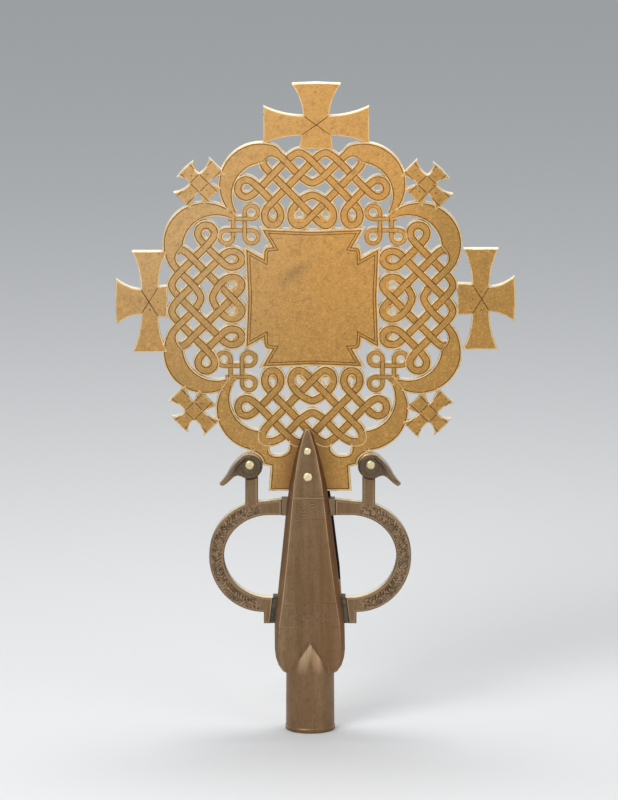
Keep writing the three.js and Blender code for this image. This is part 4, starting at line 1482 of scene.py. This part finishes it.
# %% Golden brass
def golden_brass():
    brass = Finish("golden_brass", 212, 158, 86)
    x, z = brass.x, brass.z
    # Paler to the left and at the top, deeper low down and to the right
    brass.over((x * -1).between(-10, 62), 206, 170, 120)
    brass.over(z.between(300, 350) * 0.5, 228, 176, 106)
    brass.over((z.between(290, 195) * 0.8).larger(x.between(50, 80) * 0.8), 160, 122, 62)
    # Clouds, freckles and blotches
    clouds = brass.noise(22, 4).between(0.3, 0.7)
    brass.over(clouds * 0.4, 184, 138, 76)
    freckles = brass.noise(1.3, 3, 0.75)
    brass.over(freckles.between(0.5, 0.72) * 0.45, 236, 190, 112)
    brass.over(freckles.between(0.5, 0.3) * 0.36, 138, 102, 54)
    blotches = brass.noise(4, 4, 0.7, 0.4)
    brass.over(blotches.between(0.52, 0.66) * 0.42, 146, 116, 72)
    brass.over(blotches.between(0.44, 0.32) * 0.35, 226, 176, 104)
    # The smear on the panel, and painted shade round the blade
    smear = ((x + 9 + (z - 266) * -0.9) ** 2 * 0.35 + (z - 266) ** 2 * 0.3) ** 0.5
    brass.over(smear.between(5.4, 1.0) * 0.34, 120, 100, 72)
    shade_by_blade = (abs(x + 1.4) - 6 - (176 - z) * 0.16).between(9, 0) * z.between(182, 172)
    brass.over(shade_by_blade * 0.62, 118, 78, 42)
    # Worn rims with a painted highlight, and painted light on the sawn walls, brightest where they face up
    rim = brass.mark("rim")
    brass.over(rim * brass.noise(5, 3).between(0.2, 0.5) * 0.85, 248, 224, 176)
    _, inward, upward = brass.facing()
    wall = abs(inward).between(0.55, 0.2)
    brass.over(wall * 0.5, 214, 192, 142)
    brass.over(wall * upward.between(0.15, 0.8) * 0.85, 255, 248, 228)
    # Pits, mostly in the panel's middle, the dark of the cut lines, and painted shade under crossings
    middle = ((x + 5) ** 2 + (z - 245) ** 2) ** 0.5
    pits = brass.pits(1.1, 0.42, 0.28) * middle.between(14, 4) + brass.pits(2.4, 0.16, 0.15)
    brass.over(pits, 74, 50, 26)
    dark = brass.mark("line").between(0.2, 0.8) * (0.7 + 0.28 * brass.noise(2.5, 2).between(0.35, 0.6))
    brass.over(dark, 76, 52, 27)
    scratches = brass.noise(1.0, 2, 0.6, 0.3, (0.12, 1, 1.6), (0, 0.6, 0))
    rough = 0.42 + 0.12 * clouds + 0.1 * blotches + 0.3 * dark - 0.08 * rim
    height = freckles * 0.6 + scratches * 0.5 + (1 - pits) * 0.8 + blotches * 1.2
    return brass.done(rough, 0.8 - 0.5 * dark, height, 0.12)


# %% Brown bronze
def brown_bronze():
    bronze = Finish("brown_bronze", 134, 108, 80)
    x, z, off_middle, deep = bronze.x, bronze.z, abs(bronze.x), abs(bronze.y)
    on_blade = off_middle.between(24, 22) * z.between(34, 44)
    on_face = deep.between(5, 6)
    clouds = bronze.noise(16, 4).between(0.3, 0.7)
    bronze.over(clouds * 0.7, 112, 86, 58)
    # The round socket, and the two bird heads with their posts
    bronze.over(z.between(60, 20) * 0.5, 124, 92, 62)
    bronze.over(z.between(142, 152) * off_middle.between(26, 28) * 0.8, 88, 76, 63)
    # Painted shading on the blade's side facets, darker and more coppery on the right,
    # and worn ridges between them with a painted highlight
    sideways, inward, upward = bronze.facing()
    bronze.over(sideways.between(0.35, 0.8) * on_blade * 0.75, 126, 80, 42)
    bronze.over((sideways * -1).between(0.35, 0.8) * on_blade * 0.7, 132, 98, 66)
    ridge = abs(sideways).between(0.1, 0.22) * abs(sideways).between(0.62, 0.5)
    bronze.over(ridge * on_blade * 0.8, 196, 166, 130)
    # Grain, stains and streaks down the blade
    grain = bronze.noise(1.2, 3, 0.75)
    bronze.over(grain.between(0.5, 0.72) * 0.2, 166, 136, 104)
    bronze.over(grain.between(0.5, 0.3) * 0.2, 82, 60, 40)
    stain = bronze.noise(5, 5, 0.65, 0.5).between(0.55, 0.75)
    bronze.over(stain * 0.4, 84, 64, 46)
    drawn = bronze.noise(1.0, 3, 0.6, 0.2, (1.2, 1, 0.12))
    bronze.over(drawn.between(0.5, 0.68) * 0.2, 160, 132, 102)
    streak = bronze.noise(5, 3, 0.5, 0.1, (1.3, 1, 0.1))
    bronze.over(streak.between(0.45, 0.65) * on_blade * 0.45, 106, 76, 48)
    # Darker and more coppery towards the right of the blade, fading out above 150 mm
    bronze.over(x.between(-3, 14) * z.between(150, 120) * on_blade * 0.5, 118, 82, 50)
    # Fine rings round the bird's eye, and a paler beak
    eye_out = ((off_middle - HEAD_X) ** 2 + (z - HEAD_Z) ** 2) ** 0.5
    rings = sum(abs(eye_out - size).between(0.4, 0.1) for size in (4.1, 5.0, 6.7))
    bronze.over(rings * deep.between(4.8, 5.3) * off_middle.between(26, 27) * 0.45, 46, 36, 28)
    beak = eye_out.between(8, 10) * off_middle.between(38, 42) * z.between(141, 143)
    bronze.over(beak * 0.3, 168, 144, 116)
    # The chased leaves round the loop: dark patches, and a painted highlight between them
    flatten = LOOP["half_width"] / LOOP["half_height"]
    out = ((off_middle - LOOP["x"]) ** 2 + ((z - LOOP["z"]) * flatten) ** 2) ** 0.5
    off_band = abs(out - (LOOP["half_width"] - BAND_WIDTH / 2))
    chased = off_band.between(3.1, 2.9) * off_middle.between(27, 30) * z.between(133, 130)
    chased = chased * deep.between(3.4, 3.7)
    scallop = bronze.noise(2.2, 4, 0.7, 1.2).between(0.44, 0.58)
    bronze.over(chased * scallop * 0.65, 60, 46, 34)
    bronze.over(chased * (1 - scallop) * 0.4, 184, 156, 120)
    # Dark cut lines and strokes, painted shade in the slot, and worn rims with a painted highlight
    dark = bronze.mark("line").between(0.15, 0.85).larger(chased * deep.between(3.97, 3.8) * 0.9)
    bronze.over(dark * 0.7, 52, 38, 28)
    slot = deep.between(3.4, 3.1) * z.between(86, 87) * off_middle.between(19, 17)
    bronze.over(slot * 0.95, 16, 12, 10)
    bronze.over(bronze.mark("rim") * 0.4, 186, 158, 122)
    # Painted highlight on the walls that face up
    bronze.over(abs(inward).between(0.6, 0.25) * upward.between(0.3, 0.85) * 0.85, 246, 236, 212)
    # A twist of two lines is scratched on the blade between two scored ones, and a scribble low down
    twist = (x + 1.2) * 0.62
    knot = abs(twist.math("SINE", twist) * 2.4 - (z - 129.6))
    in_band = z.between(124.8, 125.4) * z.between(134.9, 134.3) * abs(x + 1.2).between(7.2, 6.6)
    scribble = bronze.noise(1.7, 3, 0.6, 1.4).between(0.52, 0.6) * bronze.noise(3, 2).between(0.3, 0.6)
    low_band = z.between(61.8, 62.6) * z.between(75, 74) * off_middle.between(13, 12)
    knot_lines = knot.between(0.8, 0.3) + abs(knot - 1.7).between(0.6, 0.2)
    scratched = (knot_lines * in_band + scribble * low_band) * on_face
    bronze.over(scratched * 0.55, 84, 64, 44)
    bronze.over(abs(knot - 0.9).between(0.3, 0.1) * in_band * on_face * 0.35, 178, 150, 116)
    bronze.over(abs(z - 136.4).between(0.5, 0.2) * on_blade * on_face * 0.4, 176, 148, 114)
    rough = 0.38 + 0.1 * clouds + 0.12 * stain + 0.2 * dark
    height = (grain * 0.25 + bronze.noise(3, 3) * 0.5 + drawn * 0.35 + (1 - scratched) * 0.8
              + (1 - chased * scallop) * 1.4)
    return bronze.done(rough, 0.8 - 0.4 * dark, height, 0.13)


# %% Pale brass and grey solder
def pale_brass():
    pale = Finish("pale_brass", 236, 222, 178)
    hammer = pale.noise(1.6, 2).between(0.3, 0.7)
    pale.over(hammer * 0.5, 206, 186, 134)
    pale.over(pale.noise(0.8, 3).between(0.52, 0.7) * 0.25, 150, 126, 80)
    pale.over(abs(pale.y).between(7.6, 6.9) * 0.5, 92, 70, 40)
    return pale.done(0.32 + 0.12 * hammer, 0.75, hammer, 0.1)


def grey_solder():
    lead = Finish("grey_solder", 92, 88, 72)
    blotch = lead.noise(3, 4).between(0.35, 0.65)
    lead.over(blotch, 64, 62, 50)
    lead.over(lead.noise(2, 3, 0.6, 0.5).between(0.55, 0.7) * 0.5, 84, 94, 72)
    lead.over(lead.noise(1.2, 3).between(0.45, 0.65) * 0.4, 46, 44, 36)
    lead.over(lead.z.between(100, 110) * 0.85, 126, 104, 78)
    return lead.done(0.5 + 0.2 * blotch, 0.5, blotch * 0.6 + lead.noise(0.6, 3) * 0.5, 0.2)


FINISHES = {finish.__name__: finish() for finish in (golden_brass, brown_bronze, pale_brass, grey_solder)}

# %% [markdown]
# ## Putting it together
#
# Every piece takes the place of its CAD node, rides on the one body, and gets its finish.

# %% Fitting the pieces
plate_pieces = [*lobes, drilled_eyes, corner_knots, panel, *finials, tang]
FITTED = [
    ("golden_brass", [(piece, "cross_plate") for piece in plate_pieces]),
    ("brown_bronze", [(blade, "socket"), (left_arm, "left_loop_arm"), (right_arm, "right_loop_arm"),
                      (left_head, "left_bird_head"), (right_head, "right_bird_head")]),
    ("pale_brass", rivets),
    ("grey_solder", solders),
]
for slot_name, pairs in FITTED:
    for piece, node in pairs:
        piece.data.materials.clear()
        piece.data.materials.append(FINISHES[slot_name])
        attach(piece, "root")
        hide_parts(node)
faces = sum(len(piece.data.polygons) for _, pairs in FITTED for piece, _ in pairs)
print("pieces:", sum(len(pairs) for _, pairs in FITTED), "faces:", faces)

# %% [markdown]
# ## The studio
#
# The floor is plain and pale. Soft lamps stand in front on the left and on the right, and overhead, at
# a level that shows a colour about as it is written. The backdrop is the world's colour as the camera
# and the metal see it. The camera stands straight in front, a little above, far away, as in the photo.

# %% Floor and light
bpy.ops.object.select_all(action="DESELECT")
bpy.ops.mesh.primitive_plane_add(size=60)
floor = bpy.context.object
floor.name = "studio_floor"
ground = Finish("pale_floor", 214, 214, 214)
ground_clouds = ground.noise(900, 2)
ground.over(ground_clouds * 0.3, 206, 206, 207)
floor.data.materials.append(ground.done(0.85, 0.0, ground_clouds, 0.01))

world = bpy.data.worlds.new("studio")
bpy.context.scene.world = world
world.use_nodes = True
sky = Nodes(world.node_tree)
seen, *others = (sky.node("ShaderNodeLightPath", output=ray)
                 for ray in ("Is Camera Ray", "Is Glossy Ray", "Is Transmission Ray"))
for ray in others:
    seen = seen.larger(ray)
backdrop = sky.tree.nodes["Background"]
sky.fill(backdrop.inputs["Color"], paint(214, 214, 215))
sky.fill(backdrop.inputs["Strength"], 1.0)
ambient = sky.node("ShaderNodeBackground", {}, {"Color": (0.9, 0.95, 1.0, 1), "Strength": 0.45})
chosen = sky.node("ShaderNodeMixShader", {}, {0: seen, 1: ambient, 2: Shade(sky, backdrop.outputs[0])})
sky.fill(sky.tree.nodes["World Output"].inputs["Surface"], chosen)

AIM = (0, 0, 0.2)
# Name, place and size in metres, and watts
for name, place, size, watts in (("key", (-0.7, -1.1, 1.2), 0.7, 16), ("fill", (1.1, -1.3, 0.5), 1.0, 6),
                                 ("top", (0.0, 0.25, 1.3), 0.6, 9)):
    light = bpy.data.lights.new(name, "AREA")
    light.size, light.energy = size, watts
    lamp = bpy.data.objects.new(name, light)
    lamp.location = place
    lamp.rotation_euler = (Vector(AIM) - lamp.location).to_track_quat("-Z", "Y").to_euler()
    bpy.context.scene.collection.objects.link(lamp)
    print(f"{name} lamp: {watts} watts")

# %% The camera
CAMERA_AWAY, CAMERA_RISE = 6.0, 12
CAMERA_AIM = Vector((-0.00068, 0, 0.1923))
SENSOR, FOCAL_LENGTH, FARTHEST = 36, 474, 200
tilt = math.radians(CAMERA_RISE)
lens = bpy.data.cameras.new("camera")
lens.sensor_fit = "VERTICAL"
lens.sensor_height, lens.lens, lens.clip_end = SENSOR, FOCAL_LENGTH, FARTHEST
camera = bpy.data.objects.new("camera", lens)
camera.location = CAMERA_AIM + Vector((0, -math.cos(tilt), math.sin(tilt))) * CAMERA_AWAY
camera.rotation_euler = (math.radians(90 - CAMERA_RISE), 0, 0)
bpy.context.scene.collection.objects.link(camera)
bpy.context.scene.camera = camera
bpy.context.scene.view_settings.view_transform = "Standard"
print("camera at", [round(c, 3) for c in camera.location])
